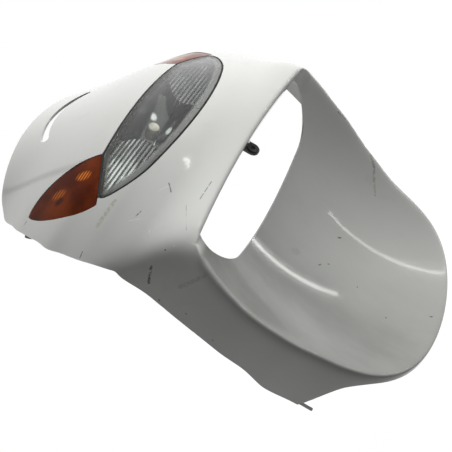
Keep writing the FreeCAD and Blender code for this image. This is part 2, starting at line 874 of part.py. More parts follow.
for side, flip in (("right", 1), ("left", -1)):
    for name, shape in (("lens", leaf_lens), ("housing", leaf_housing), ("bulb", blinker)):
        add_node(f"indicator_{name}_{side}", shape if flip > 0 else mirrored(shape))
    turned(f"indicator_socket_{side}", [
        ("sizes.socket_radius", "sizes.socket_length", -size("socket_length")),
        ("sizes.socket_flange_radius", "sizes.socket_flange", 0),
        ("sizes.socket_tail_radius", "sizes.socket_tail", size("socket_flange")),
    ], Vector(flip * across, seat, height), BACKWARDS)
    screw(f"indicator_screw_{side}",
          Vector(flip * lug[0], lug[2] + size("ear_thickness"), lug[1]), FORWARDS)
    for level, (ear_across, ear_height, ear_depth) in ears.items():
        screw(f"headlight_screw_{level}_{side}",
              Vector(flip * ear_across, ear_depth + size("ear_thickness"), ear_height), FORWARDS)


# Centre stay

def box(label, length, width, height, corner):
    """Box whose sizes are expressions of the sheet."""
    part = doc.addObject("Part::Box", label)
    part.setExpression("Length", length)
    part.setExpression("Width", width)
    part.setExpression("Height", height)
    part.Placement = TO_MOUNT.multiply(Placement(corner, Rotation()))
    return part


flange_top = size("lip_height") + WALL
stay_left = -size("stay_width") / 2
leg = box("stay_leg", "sizes.stay_width", "sizes.stay_plate", "sizes.stay_drop + sizes.stay_plate",
          Vector(stay_left, size("lip_depth"), flange_top - size("stay_drop")))
foot = box("stay_foot_plate", "sizes.stay_width", "sizes.stay_foot + sizes.stay_plate", "sizes.stay_plate",
           Vector(stay_left, size("lip_depth") - size("stay_foot"), flange_top))
stay_solid = doc.addObject("Part::MultiFuse", "stay_solid")
stay_solid.Shapes = [leg, foot]
stay_eye = cylinder("stay_eye", "sizes.stay_hole_radius", "4 * sizes.stay_plate",
                    Placement(Vector(0, -2 * size("stay_plate"), 0), BACKWARDS))
stay_screw_at = Vector(0, size("lip_depth") - size("stay_foot") / 2, flange_top + size("stay_plate"))
stay_drill = cylinder("stay_drill", "sizes.screw_radius", "2 * sizes.stay_plate",
                      TO_MOUNT.multiply(Placement(stay_screw_at, DOWN)))
stay_holes = doc.addObject("Part::MultiFuse", "stay_holes")
stay_holes.Shapes = [stay_eye, stay_drill]
stay = doc.addObject("Part::Cut", "centre_stay")
stay.Base = stay_solid
stay.Tool = stay_holes
stay.Label = "centre_stay"
nodes.append(stay)
screw("stay_screw", stay_screw_at, DOWN, "sizes.stay_screw_length")
grommet_lip = (size("grommet_length") - size("stay_plate")) / 2
turned("stay_grommet", [
    ("sizes.stay_hole_radius", "sizes.grommet_length", 0),
    ("sizes.grommet_rim", "(sizes.grommet_length - sizes.stay_plate) / 2", 0),
    ("sizes.grommet_rim", "(sizes.grommet_length - sizes.stay_plate) / 2", grommet_lip + size("stay_plate")),
], ORIGIN_AT - Vector(0, size("grommet_length") / 2, 0), BACKWARDS,
    bores=[("sizes.grommet_bore", "sizes.grommet_length", 0)])


# Spring clips on the fixing tabs

for name in ("temple", "waist", "knee"):
    for side, turn in (("right", Rotation()), ("left", Rotation(Vector(0, 1, 0), 180))):
        label = f"{name}_clip_{side}"
        flip = 1 if side == "right" else -1
        at = Vector(flip * size(f"{name}_tab_across"), tab_depth(name), size(f"{name}_tab_height"))
        axis = TO_MOUNT.multiply(Placement(at, turn))
        half_width = size("clip_width") / 2
        body = doc.addObject("Part::Box", f"{label}_body")
        body.setExpression("Length", "sizes.clip_length + sizes.clip_plate")
        body.setExpression("Width", "sizes.tab_plate + 2 * sizes.clip_plate")
        body.setExpression("Height", "sizes.clip_width")
        plate = size("clip_plate")
        body.Placement = axis.multiply(Placement(Vector(-plate, -plate, -half_width), Rotation()))
        mouth = doc.addObject("Part::Box", f"{label}_mouth")
        mouth.setExpression("Length", "2 * sizes.clip_length")
        mouth.setExpression("Width", "sizes.tab_plate")
        mouth.setExpression("Height", "sizes.tab_width")
        mouth.Placement = axis.multiply(Placement(Vector(0, 0, -size("tab_width") / 2), Rotation()))
        eye = cylinder(f"{label}_eye", "sizes.tab_hole", "sizes.tab_plate + 4 * sizes.clip_plate",
                       axis.multiply(Placement(Vector(size("clip_length") / 2, -2 * plate, 0), BACKWARDS)))
        cuts = doc.addObject("Part::MultiFuse", f"{label}_cuts")
        cuts.Shapes = [mouth, eye]
        clip = doc.addObject("Part::Cut", label)
        clip.Base = body
        clip.Tool = cuts
        clip.Label = label
        nodes.append(clip)

doc.recompute()
for thing in doc.Objects:
    if "Invalid" in thing.State or "Error" in thing.State:
        raise RuntimeError(f"{thing.Label} failed to build: {thing.State}")
for node in nodes:
    if node.Shape.isNull() or not node.Shape.isValid():
        raise RuntimeError(f"{node.Label} has no valid shape")
    print(node.Label, len(node.Shape.Solids), round(node.Shape.Volume))
os.makedirs("parts", exist_ok=True)
for node in nodes:
    node.Shape.exportStep(f"parts/{node.Label}.step")
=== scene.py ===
import json
import math

import bmesh
import bpy
import numpy as np
from mathutils import Matrix, Vector


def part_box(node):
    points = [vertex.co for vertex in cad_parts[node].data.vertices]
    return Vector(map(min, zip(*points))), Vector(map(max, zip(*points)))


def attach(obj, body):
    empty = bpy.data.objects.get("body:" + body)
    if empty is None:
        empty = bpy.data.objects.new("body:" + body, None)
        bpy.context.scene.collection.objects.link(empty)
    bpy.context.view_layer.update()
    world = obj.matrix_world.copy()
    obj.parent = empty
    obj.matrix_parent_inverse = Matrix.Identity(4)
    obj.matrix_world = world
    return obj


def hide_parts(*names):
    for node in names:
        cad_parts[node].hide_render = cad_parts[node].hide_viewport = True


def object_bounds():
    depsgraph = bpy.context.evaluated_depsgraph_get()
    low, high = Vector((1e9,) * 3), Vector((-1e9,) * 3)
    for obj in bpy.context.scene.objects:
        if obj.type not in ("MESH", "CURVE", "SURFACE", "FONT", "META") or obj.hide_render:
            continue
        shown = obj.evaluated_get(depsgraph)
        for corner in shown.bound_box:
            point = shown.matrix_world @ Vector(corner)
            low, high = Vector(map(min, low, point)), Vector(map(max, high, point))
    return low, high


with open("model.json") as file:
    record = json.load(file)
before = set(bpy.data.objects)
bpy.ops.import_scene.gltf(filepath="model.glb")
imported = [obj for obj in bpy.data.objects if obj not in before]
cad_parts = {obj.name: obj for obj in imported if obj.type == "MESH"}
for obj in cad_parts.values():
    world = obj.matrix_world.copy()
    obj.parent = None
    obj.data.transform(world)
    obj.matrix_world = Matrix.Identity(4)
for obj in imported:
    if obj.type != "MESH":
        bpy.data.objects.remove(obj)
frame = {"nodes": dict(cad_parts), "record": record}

cad_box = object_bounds()

# Upper and lower cover: two injection moulded shells of glossy white plastic, 3 mm thick.
# They part at the headlight's window and at a short seam on each side. Both are cut from
# one styling skin, drawn in millimetres about the headlight's centre, with -Y to the front.
STAY_HOLE = np.array([0.0, 9.25, -96.5])
WALL = 3.0
# height, front, half width, bow and corner roll of each section
SECTIONS = np.array([
    (185, 172, 150, 70, 0), (130, 112, 165, 82, 0), (80, 58, 186, 66, 0), (40, 21, 198, 62, 0),
    (20, 8, 203, 66, 0), (-10, -4, 207, 64, 0), (-45, -9, 207, 51, 10), (-85, -9, 204, 12.5, 54),
    (-100, -9, 203, 8, 58), (-170, 8, 201, 16, 66), (-230, 22, 189, 29, 75), (-285, 37, 174, 30, 82),
    (-340, 42, 165, 24, 80), (-402, 44, 160, 12, 80)], float)
# depth and height along the covers' rear edge: a sweep down to the notch, and one on to the corner
REAR_EDGE = np.array([
    (140, 185), (152.5, 162), (161.5, 134), (154.5, 114), (131, 91), (110, 69), (90, 45), (77.5, 21),
    (62, -12), (54.5, -41), (66, -82), (92, -158), (111, -202), (137, -241), (152, -284)], float)
PEAK, NOTCH, CORNER = 2, 9, 14
# depth of the tongue's wall behind the wheel's hollow, and its height
TONGUE_WALL = np.array([(145, -250), (86, -284), (27, -318), (13, -345), (9, -370), (7, -402)], float)
# the hollow's axis and radius, and how far it flares to the front at its half width
AXLE_DEPTH, AXLE_HEIGHT, HOLLOW_RADIUS, HOLLOW_FLARE, HOLLOW_HALF = -202, -295, 317.0, 49, 175
# the lip's height in the middle, and its droop at the hollow's half width
LIP_HEIGHT, LIP_DROOP = -89, 10
# the height from which the side walls close in on the tongue's tip, and the drop that this takes
CLOSING_HEIGHT, CLOSING_DROP = -260, 142


def smooth_through(places, values):
    """A smooth curve through the values that never overshoots between them."""
    order = np.argsort(places)
    at_knot, knot = places[order], values[order]
    step = np.diff(at_knot)
    chord = np.diff(knot) / step
    product = chord[:-1] * chord[1:]
    total = np.where(product > 0, chord[:-1] + chord[1:], 1)
    slope = np.concatenate([chord[:1], np.where(product > 0, 2 * product / total, 0), chord[-1:]])

    def curve(place):
        place = np.clip(place, at_knot[0], at_knot[-1])
        n = np.clip(np.searchsorted(at_knot, place, side="right") - 1, 0, len(step) - 1)
        along = (place - at_knot[n]) / step[n]
        back = 1 - along
        return (knot[n] * (1 + 2 * along) * back ** 2 + slope[n] * step[n] * along * back ** 2
                + knot[n + 1] * along ** 2 * (3 - 2 * along) - slope[n + 1] * step[n] * along ** 2 * back)

    return curve


section_front, section_half, section_bow, section_roll = (
    smooth_through(SECTIONS[:, 0], SECTIONS[:, n]) for n in range(1, 5))
rear_sweep = smooth_through(REAR_EDGE[:NOTCH + 1, 1], REAR_EDGE[:NOTCH + 1, 0])
rear_flank = smooth_through(REAR_EDGE[NOTCH:, 1], REAR_EDGE[NOTCH:, 0])
tongue_wall = smooth_through(TONGUE_WALL[:, 1], TONGUE_WALL[:, 0])


def ramp(value, low, high):
    """Smooth step from 0 at low to 1 at high."""
    share = np.clip((value - low) / (high - low), 0, 1)
    return share * share * (3 - 2 * share)


def skin(x, z):
    """Depth of the styling skin."""
    roll_power = 14
    share = np.abs(x) / section_half(z)
    closing = (np.maximum(0, CLOSING_HEIGHT - z) / CLOSING_DROP) ** 1.5
    roll = section_roll(z) * np.hypot(share, closing) ** roll_power
    return section_front(z) + section_bow(z) * share ** 2 + roll


def arch(x, z):
    """Depth of the hollow that follows the front wheel."""
    round_axle = np.sqrt(HOLLOW_RADIUS ** 2 - (z - AXLE_HEIGHT) ** 2)
    return AXLE_DEPTH + round_axle - HOLLOW_FLARE * (x / HOLLOW_HALF) ** 2


def rear(x, z):
    """Depth of the covers' rear edge, which follows the wheel's hollow below the corner."""
    above = np.where(z > REAR_EDGE[NOTCH, 1], rear_sweep(z), rear_flank(z))
    return np.where(z > REAR_EDGE[CORNER, 1], above, arch(x, z) + tongue_wall(z))


def lip(x):
    """Height of the chin's lip."""
    return LIP_HEIGHT - LIP_DROOP * (x / HOLLOW_HALF) ** 2


def root(low, high, behind):
    """Where a rising function passes zero, by halving, for whole arrays."""
    low, high = np.broadcast_arrays(np.asarray(low, float), np.asarray(high, float))
    for _ in range(45):
        middle = (low + high) / 2
        past = behind(middle) > 0
        low, high = np.where(past, low, middle), np.where(past, middle, high)
    return (low + high) / 2


def inset(x, z, amount):
    """Depth of a surface that lies behind the skin by an amount along its normal."""
    step = 0.5
    sideways = (skin(x + step, z) - skin(x - step, z)) / (2 * step)
    upwards = (skin(x, z + step) - skin(x, z - step)) / (2 * step)
    return skin(x, z) + amount * np.sqrt(1 + sideways ** 2 + upwards ** 2)


def row_height(x, row):
    """Height of a row of the skin: rows bend with the lip near the chin."""
    fading = 35
    return row + (lip(x) - LIP_HEIGHT) * np.exp(-((row - LIP_HEIGHT) / fading) ** 2)


def closing_row(share):
    """Height at which the side walls have closed by a share."""
    return CLOSING_HEIGHT - CLOSING_DROP * share ** (2 / 3)


def cover_skin():
    """Grid of the skin, from the nose's top edge to the tongue's tip, with the lip's flange."""
    limit, collar, above_lip, below_lip, tongue_row = 185, 80.0, -80, -97, -275
    peak_depth, peak_height = REAR_EDGE[PEAK]
    peak = root(0, 160, lambda x: skin(x, peak_height) - peak_depth)
    top = root(peak_height, limit, lambda z: skin(0, z) - rear(0, z))
    tip = root(0.5, 1.0, lambda share: skin(0, closing_row(share)) - rear(0, closing_row(share)))
    rows = np.concatenate([
        np.linspace(top, collar, 30)[:-1],
        np.linspace(collar, above_lip, 58),
        np.linspace(LIP_HEIGHT, below_lip, 5)[1:],
        np.linspace(below_lip, tongue_row, 64)[1:-1],
        closing_row(tip * np.cos(np.radians(np.arange(86, 1, -1.2)))),
    ])
    lift = np.clip((rows - collar) / (top - collar), 0, 1)
    side_height = collar + lift * (peak_height - collar)
    high = rows > collar

    def past_rear(x):
        z = np.where(high, side_height, row_height(x, rows))
        return skin(x, z) - rear(x, z)

    def past_arch(x):
        z = row_height(x, np.minimum(rows, LIP_HEIGHT))
        return skin(x, z) - arch(x, z)

    end = root(0, 1.3 * section_half(rows), past_rear)
    ridge = np.maximum(root(0, end, past_arch), 0.5 * end)
    first_low = np.argmax(rows < LIP_HEIGHT)
    ridge[:first_low] = end[:first_low] * ridge[first_low] / end[first_low]

    # the columns crowd towards the ridge from both sides
    crowding = 1.35
    inner = 1 - (1 - np.linspace(0, 1, 66)) ** crowding
    outer = np.linspace(0, 1, 34)[1:] ** crowding
    half_x = np.hstack([ridge[:, None] * inner, ridge[:, None] + (end - ridge)[:, None] * outer])
    x = np.hstack([-half_x[:, :0:-1], half_x])
    by_peak = np.abs(x) / end[:, None] * peak
    top_height = root(np.full_like(x, peak_height), limit, lambda z: skin(by_peak, z) - rear(by_peak, z))
    row = rows[:, None] + 0 * x
    raised = collar + lift[:, None] * (top_height - collar)
    z = np.where(row > collar, raised, row_height(x, row))

    # a soft step runs down the nose from the slot's ends to the headlight's corners
    step_height = 1.5
    crease = np.interp(z, [39, 49.5, 66.6, 86, 106, 125.5], [94, 104, 110.6, 113.4, 115, 116])
    proud = step_height * (1 - ramp(np.abs(x), crease - 5, crease + 6)) * ramp(z, 46, 62)
    # below the lip, a soft ridge parts the flank from the hollow
    softness = 7.0 * ramp(lip(x) - z, 0, 16)
    over, hollow = skin(x, z) - proud, arch(x, z)
    under = (over + hollow) / 2 + np.sqrt(((over - hollow) / 2) ** 2 + (softness / 2) ** 2)
    y = np.where(row < LIP_HEIGHT, under, over)

    # the lip: a rolled edge, and a flange that turns back from it
    lip_round = 5.0
    lip_x = x[first_low]
    lip_z = lip(lip_x)
    start = skin(lip_x, lip_z)
    finish = np.maximum(arch(lip_x, lip_z), start)
    bend = np.minimum(lip_round, (finish - start) / 2)
    rolled = [(lip_x, start + bend * (1 - math.cos(a)), lip_z + bend * (1 - math.sin(a)))
              for a in np.radians(np.arange(0, 91, 15))]
    flange = [(lip_x, start + bend + (finish - start - bend) * part, lip_z)
              for part in np.linspace(0, 1, 15)[1:]]
    middle = np.array(rolled + flange).transpose(0, 2, 1)
    sheet = np.stack([x, y, z], axis=2)
    chin = rows > LIP_HEIGHT
    return np.concatenate([sheet[chin], middle, sheet[~chin]])


def grid_faces(grid):
    """Points of a grid and its four-sided faces."""
    count, across = grid.shape[:2]
    number = np.arange(count * across).reshape(count, across)
    quads = np.stack([number[:-1, :-1], number[1:, :-1], number[1:, 1:], number[:-1, 1:]], axis=2)
    return grid.reshape(-1, 3), [tuple(quad) for quad in quads.reshape(-1, 4).tolist()]


def trimmed(points, faces, field):
    """Cut a sheet along the line where a field is zero and keep the side where it is positive."""
    inside = field(points) > 0
    flags = inside.tolist()
    ids, cuts, kept = {}, [], []
    for face in faces:
        marks = [flags[n] for n in face]
        if all(marks):
            kept.append(face)
            continue
        if not any(marks):
            continue
        loop = []
        for a, b in zip(face, face[1:] + face[:1]):
            if flags[a]:
                loop.append(a)
            if flags[a] != flags[b]:
                key = (min(a, b), max(a, b))
                if key not in ids:
                    ids[key] = len(points) + len(cuts)
                    cuts.append(key)
                loop.append(ids[key])
        kept.append(tuple(loop))
    if not cuts:
        return points, kept
    first, last = np.array(cuts).T
    low, high = np.zeros(len(first)), np.ones(len(first))
    for _ in range(14):
        middle = (low + high) / 2
        same = (field(points[first] + (points[last] - points[first]) * middle[:, None]) > 0) == inside[first]
        low, high = np.where(same, middle, low), np.where(same, high, middle)
    return np.vstack([points, points[first] + (points[last] - points[first]) * high[:, None]]), kept


def arc(start, through, end, steps=24):
    """Points of the circle's arc through three points."""
    (ax, az), (bx, bz), (cx, cz) = start, through, end
    d = 2 * (ax * (bz - cz) + bx * (cz - az) + cx * (az - bz))
    a2, b2, c2 = ax * ax + az * az, bx * bx + bz * bz, cx * cx + cz * cz
    mx = (a2 * (bz - cz) + b2 * (cz - az) + c2 * (az - bz)) / d
    mz = (a2 * (cx - bx) + b2 * (ax - cx) + c2 * (bx - ax)) / d
    angles = [math.atan2(z - mz, x - mx) for x, z in (start, through, end)]
    full = 2 * math.pi
    sweep = (angles[2] - angles[0]) % full
    if (angles[1] - angles[0]) % full > sweep:
        sweep -= full
    radius = math.hypot(ax - mx, az - mz)
    return [(mx + radius * math.cos(angles[0] + sweep * n / steps),
             mz + radius * math.sin(angles[0] + sweep * n / steps)) for n in range(steps)]


def distance(outline, x, z):
    """Distance to a closed outline of the front view, negative inside it."""
    outline = np.array(outline)
    best, inside = np.full(x.shape, 1e9), np.zeros(x.shape, bool)
    for (ax, az), (bx, bz) in zip(outline, np.roll(outline, -1, axis=0)):
        ex, ez = bx - ax, bz - az
        along = np.clip(((x - ax) * ex + (z - az) * ez) / (ex * ex + ez * ez), 0, 1)
        best = np.minimum(best, np.hypot(x - ax - along * ex, z - az - along * ez))
        if az != bz:
            crosses = (az > z) != (bz > z)
            inside ^= crosses & (x < ax + (z - az) * ex / ez)
    return np.where(inside, -best, best)


def soft_corner(start, corner, end, steps):
    """Points that round off an outline's corner, without the last."""
    share = np.linspace(0, 1, steps)[:-1, None]
    points = ((1 - share) ** 2 * np.array(start) + 2 * share * (1 - share) * np.array(corner)
              + share * share * np.array(end))
    return [tuple(point) for point in points]


# x and z of the lens's right corner and end, of the leaf's tip, and of the seam's far end
LENS_CORNER, LENS_END, LEAF_TIP, SEAM_END = (95, 38.5), (149, 14), (166, 78), (237, 70)


def lens_outline():
    """Almond of the headlight lens, with softened ends."""
    top, bottom, knee, belly, softened, after = 43.5, -23.5, (99, -13), (128, -1.5), 6, 4
    corner = LENS_CORNER
    upper_run = np.array(LENS_END, float) - corner
    before = corner + upper_run * (1 - softened / np.hypot(*upper_run))
    side = arc(LENS_END, belly, knee)
    right = [corner] + soft_corner(before, LENS_END, side[after], 7) + side[after:]
    left = [(-px, pz) for px, pz in reversed(right)]
    low = arc(knee, (0, bottom), (-knee[0], knee[1]))
    high = arc((-corner[0], corner[1]), (0, top), corner)
    return right + low + left + high[1:]


def leaf_outline():
    """Leaf of the right indicator, along the end of the headlight."""
    gap, past, brow, cheek = 2.9, 6, (116, 67), (174.5, 48)
    corner, end = np.array(LENS_CORNER), np.array(LENS_END)
    along = (end - corner) / np.hypot(*(end - corner))
    away = np.array([-along[1], along[0]]) * gap
    start, foot = tuple(corner + away), tuple(end + away + past * along)
    return arc(start, brow, LEAF_TIP) + arc(LEAF_TIP, cheek, foot) + [foot]


def slot_outline():
    """Curved slot of the nose with round ends."""
    half, crest, end, edge = 52, 139, 126, 4
    radius = (half ** 2 + (crest - end) ** 2) / (2 * (crest - end))
    spread = math.asin(half / radius)

    def at(angle, off):
        return ((radius + off) * math.sin(angle), crest - radius + (radius + off) * math.cos(angle))

    bulge = spread + edge / radius
    return (arc(at(-spread, edge), at(0, edge), at(spread, edge))
            + arc(at(spread, edge), at(bulge, 0), at(spread, -edge), 10)
            + arc(at(spread, -edge), at(0, -edge), at(-spread, -edge))
            + arc(at(-spread, -edge), at(-bulge, 0), at(-spread, edge), 10))


def fork_outline():
    """Half-moon of the fork opening, up to the lip's flange, with rounded ends."""
    half, side, shoulder, bottom, softened, inside = 156, (138, -126), (104, -143.5), -150, 22, WALL + 1
    level = lip(half) + inside
    flank = arc((half, level), side, shoulder, 30)
    after = next(n for n, (x, z) in enumerate(flank) if math.hypot(x - half, z - level) > softened)
    brow = arc((0, LIP_HEIGHT + inside), (half / 2, lip(half / 2) + inside), (half, level), 40)
    before = next(n for n, (x, z) in enumerate(brow) if math.hypot(x - half, z - level) < softened)
    right = brow[:before] + soft_corner(brow[before], (half, level), flank[after], 9) + flank[after:]
    low = arc(shoulder, (0, bottom), (-shoulder[0], shoulder[1]), 40)
    return right + low + [(-x, z) for x, z in reversed(right[1:])]


LENS, LEAF, SLOT, FORK = lens_outline(), leaf_outline(), slot_outline(), fork_outline()


def outside_window(points):
    """Positive outside the window of the headlight and the indicators."""
    seal_room, leaf_room = 2.5, 0.8
    x, z = points[:, 0], points[:, 2]
    return np.minimum(distance(LENS, x, z) - seal_room, distance(LEAF, np.abs(x), z) - leaf_room)


def outside_slot(points):
    """Positive outside the nose's slot."""
    return distance(SLOT, points[:, 0], points[:, 2])


def outside_fork(points):
    """Positive outside the fork opening, which leaves the chin's front whole."""
    chin_back = 8
    return np.maximum(distance(FORK, points[:, 0], points[:, 2]), chin_back - points[:, 1])


def off_seam(points):
    """Positive beside the seam that runs from each leaf's tip to the rear edge."""
    from_across, half_gap = 150, 0.3
    across = np.abs(points[:, 0])
    (tip, tip_height), (end, end_height) = LEAF_TIP, SEAM_END
    line = tip_height + (end_height - tip_height) * (across - tip) / (end - tip)
    return np.where(across > from_across, np.abs(points[:, 2] - line) - half_gap, 1)


def compact(points, faces):
    """Only the points that a face uses."""
    used = sorted({n for face in faces for n in face})
    renumber = {old: new for new, old in enumerate(used)}
    return points[used], [tuple(renumber[n] for n in face) for face in faces]


def placed(name, data):
    """New object in the scene."""
    obj = bpy.data.objects.new(name, data)
    bpy.context.scene.collection.objects.link(obj)
    return obj


def settle(obj):
    """Put what an object's modifiers make in place of its mesh."""
    made = bpy.data.meshes.new_from_object(obj.evaluated_get(bpy.context.evaluated_depsgraph_get()))
    obj.modifiers.clear()
    obj.data = made


def crisp(mesh, angle):
    """Smooth shading that breaks at edges from an angle on."""
    mesh.polygons.foreach_set("use_smooth", [True] * len(mesh.polygons))
    mesh.set_sharp_from_angle(angle=math.radians(angle))


def piece(name, points, faces, material, thickness=0.0, sharp=40.0):
    """Object of a sheet in millimetres: doubles merged, given a wall towards its back."""
    same_place = 0.00008
    mesh = bpy.data.meshes.new(name)
    mesh.from_pydata(((points - STAY_HOLE) / 1000).tolist(), [], faces)
    work = bmesh.new()
    work.from_mesh(mesh)
    bmesh.ops.remove_doubles(work, verts=work.verts, dist=same_place)
    loose = [vert for vert in work.verts if not vert.link_faces]
    bmesh.ops.delete(work, geom=loose, context="VERTS")
    work.to_mesh(mesh)
    work.free()
    obj = placed(name, mesh)
    if thickness:
        wall = obj.modifiers.new("wall", "SOLIDIFY")
        wall.thickness = thickness / 1000
        wall.offset = -1
        wall.use_even_offset = True
        settle(obj)
        obj.data.name = name
    crisp(obj.data, sharp)
    obj.data.materials.clear()
    obj.data.materials.append(material)
    return obj


def places_of(obj):
    """Places of a piece's points, in millimetres about the headlight's centre."""
    flat = np.empty(len(obj.data.vertices) * 3)
    obj.data.vertices.foreach_get("co", flat)
    return (flat.reshape(-1, 3) * 1000 + STAY_HOLE).T


def mark(obj, name, values):
    """Give each point of a piece a value that its material reads."""
    obj.data.attributes.new(name, "FLOAT", "POINT").data.foreach_set("value", values)


def new_node(tree, kind, inputs=(), **settings):
    """Node of a tree, its inputs linked to outputs or set to values."""
    node = tree.nodes.new(kind)
    for name, value in settings.items():
        setattr(node, name, value)
    for socket, value in dict(inputs).items():
        if isinstance(value, bpy.types.NodeSocket):
            tree.links.new(value, node.inputs[socket])
        else:
            node.inputs[socket].default_value = value
    return node


class Finish:
    """Material with a Principled shader, and short calls for its procedural nodes."""

    def __init__(self, name, colour, roughness, metallic=0.0, **sockets):
        self.material = bpy.data.materials.new(name)
        self.material.use_nodes = True
        self.tree = self.material.node_tree
        self.shader = self.tree.nodes["Principled BSDF"]
        self.shader.inputs["Base Color"].default_value = (*colour, 1)
        self.shader.inputs["Roughness"].default_value = roughness
        self.shader.inputs["Metallic"].default_value = metallic
        for socket, value in sockets.items():
            self.shader.inputs[socket.replace("_", " ")].default_value = value
        self.place = self.add("ShaderNodeTexCoord").outputs["Object"]

    def add(self, kind, inputs=(), **settings):
        return new_node(self.tree, kind, inputs, **settings)

    def use(self, socket, output):
        """Let an output drive a socket of the shader."""
        self.tree.links.new(output, self.shader.inputs[socket])

    def read(self, name):
        """Value that the piece's points carry under a name."""
        return self.add("ShaderNodeAttribute", attribute_name=name).outputs["Fac"]

    def axes(self):
        """The three coordinates of the place."""
        return self.add("ShaderNodeSeparateXYZ", {"Vector": self.place}).outputs

    def noise(self, scale, detail=3.0, stretch=None):
        """Noise over the object; a stretch squeezes it along the axes."""
        at = self.place
        if stretch:
            at = self.add("ShaderNodeMapping", {"Vector": at, "Scale": stretch}).outputs["Vector"]
        return self.add("ShaderNodeTexNoise", {"Vector": at, "Scale": scale, "Detail": detail}).outputs["Fac"]

    def spread(self, value, low, high, to_low=0.0, to_high=1.0):
        """Value from low to high mapped to two other values, held beyond them."""
        ends = {"Value": value, "From Min": low, "From Max": high, "To Min": to_low, "To Max": to_high}
        return self.add("ShaderNodeMapRange", ends, interpolation_type="SMOOTHSTEP").outputs["Result"]

    def maths(self, operation, first, second=0.0):
        return self.add("ShaderNodeMath", {0: first, 1: second}, operation=operation).outputs["Value"]

    def mix(self, factor, first, second):
        """Colour between two colours or outputs."""
        first, second = ((*tone, 1) if isinstance(tone, tuple) else tone for tone in (first, second))
        return self.add("ShaderNodeMix", {"Factor": factor, 6: first, 7: second}, data_type="RGBA").outputs[2]

    def blotchy(self, scale, detail, low, high, first, second):
        """Colour that goes from one to another where noise goes from low to high."""
        return self.mix(self.spread(self.noise(scale, detail), low, high), first, second)

    def uneven(self, scale, detail, low, high, smooth, rough, stretch=None):
        """Let noise drive the roughness."""
        self.use("Roughness", self.spread(self.noise(scale, detail, stretch), low, high, smooth, rough))

    def vector(self, operation, inputs):
        """Vector maths of points or outputs."""
        node = self.add("ShaderNodeVectorMath", inputs, operation=operation)
        return node.outputs["Value" if operation in ("DOT_PRODUCT", "LENGTH") else "Vector"]

    def stroke(self, start, end, width):
        """1 on a line between two points in millimetres about the headlight's centre, 0 past its width."""
        first, last = ((np.array(point) - STAY_HOLE) / 1000 for point in (start, end))
        run = last - first
        from_first = self.vector("SUBTRACT", {0: self.place, 1: first})
        along = self.vector("DOT_PRODUCT", {0: from_first, 1: run / (run @ run)})
        along = self.maths("MINIMUM", self.maths("MAXIMUM", along, 0.0), 1.0)
        nearest = self.vector("SCALE", {0: run, "Scale": along})
        away = self.vector("LENGTH", {0: self.vector("SUBTRACT", {0: from_first, 1: nearest})})
        return self.spread(away, width / 1000, 0.35 * width / 1000)

    def oval(self, across, height, wide, tall):
        """Soft oval of the front view, in millimetres about the headlight's centre."""
        right, _, up = (np.array([across, 0, height]) - STAY_HOLE) / 1000
        shape = {"Vector": self.place, "Location": (right, 0, up), "Scale": (wide / 1000, 1000, tall / 1000)}
        place = self.add("ShaderNodeMapping", shape, vector_type="TEXTURE").outputs["Vector"]
        return self.spread(self.vector("LENGTH", {0: place}), 1.0, 0.4)

    def relief(self, height, strength, depth):
        """Bump of a height."""
        bump = self.add("ShaderNodeBump", {"Height": height, "Strength": strength, "Distance": depth})
        self.use("Normal", bump.outputs["Normal"])


PLASTIC, BARE_PLASTIC, ROAD_FILM_AND_SHADE = (0.80, 0.81, 0.775), (0.93, 0.93, 0.90), (0.20, 0.205, 0.19)
SOOT, GREASE, GREY = (0.02, 0.02, 0.02), (0.42, 0.37, 0.24), (0.28, 0.28, 0.26)
white = Finish("glossy_white_plastic", PLASTIC, 0.2, Specular_IOR_Level=0.4, Coat_Weight=0.3,
               Coat_Roughness=0.03)
dull = white.noise(7, 4)
haze = white.mix(white.spread(dull, 0.35, 0.7, 0.0, 0.45), PLASTIC, (0.755, 0.76, 0.72))
grime = white.maths("MULTIPLY", white.spread(white.noise(34, 6), 0.58, 0.78), 0.10)
soiled = white.mix(grime, haze, (0.40, 0.38, 0.31))
# the hollow that faces the wheel is darkened, partly road film and partly painted shade; the factor called
# thickness is that painted shade, strongest towards -X and thinning out towards +X
splashes = white.spread(white.noise(16, 6, (1, 1, 0.5)), 0.25, 0.75, 0.85, 1.0)
thickness = white.spread(white.axes()["X"], -0.10, 0.12, 1.0, 0.28)
film_and_painted_shade = white.maths("MULTIPLY", white.read("wheel_side"), white.maths("MULTIPLY", splashes, thickness))
soiled = white.mix(film_and_painted_shade, soiled, ROAD_FILM_AND_SHADE)
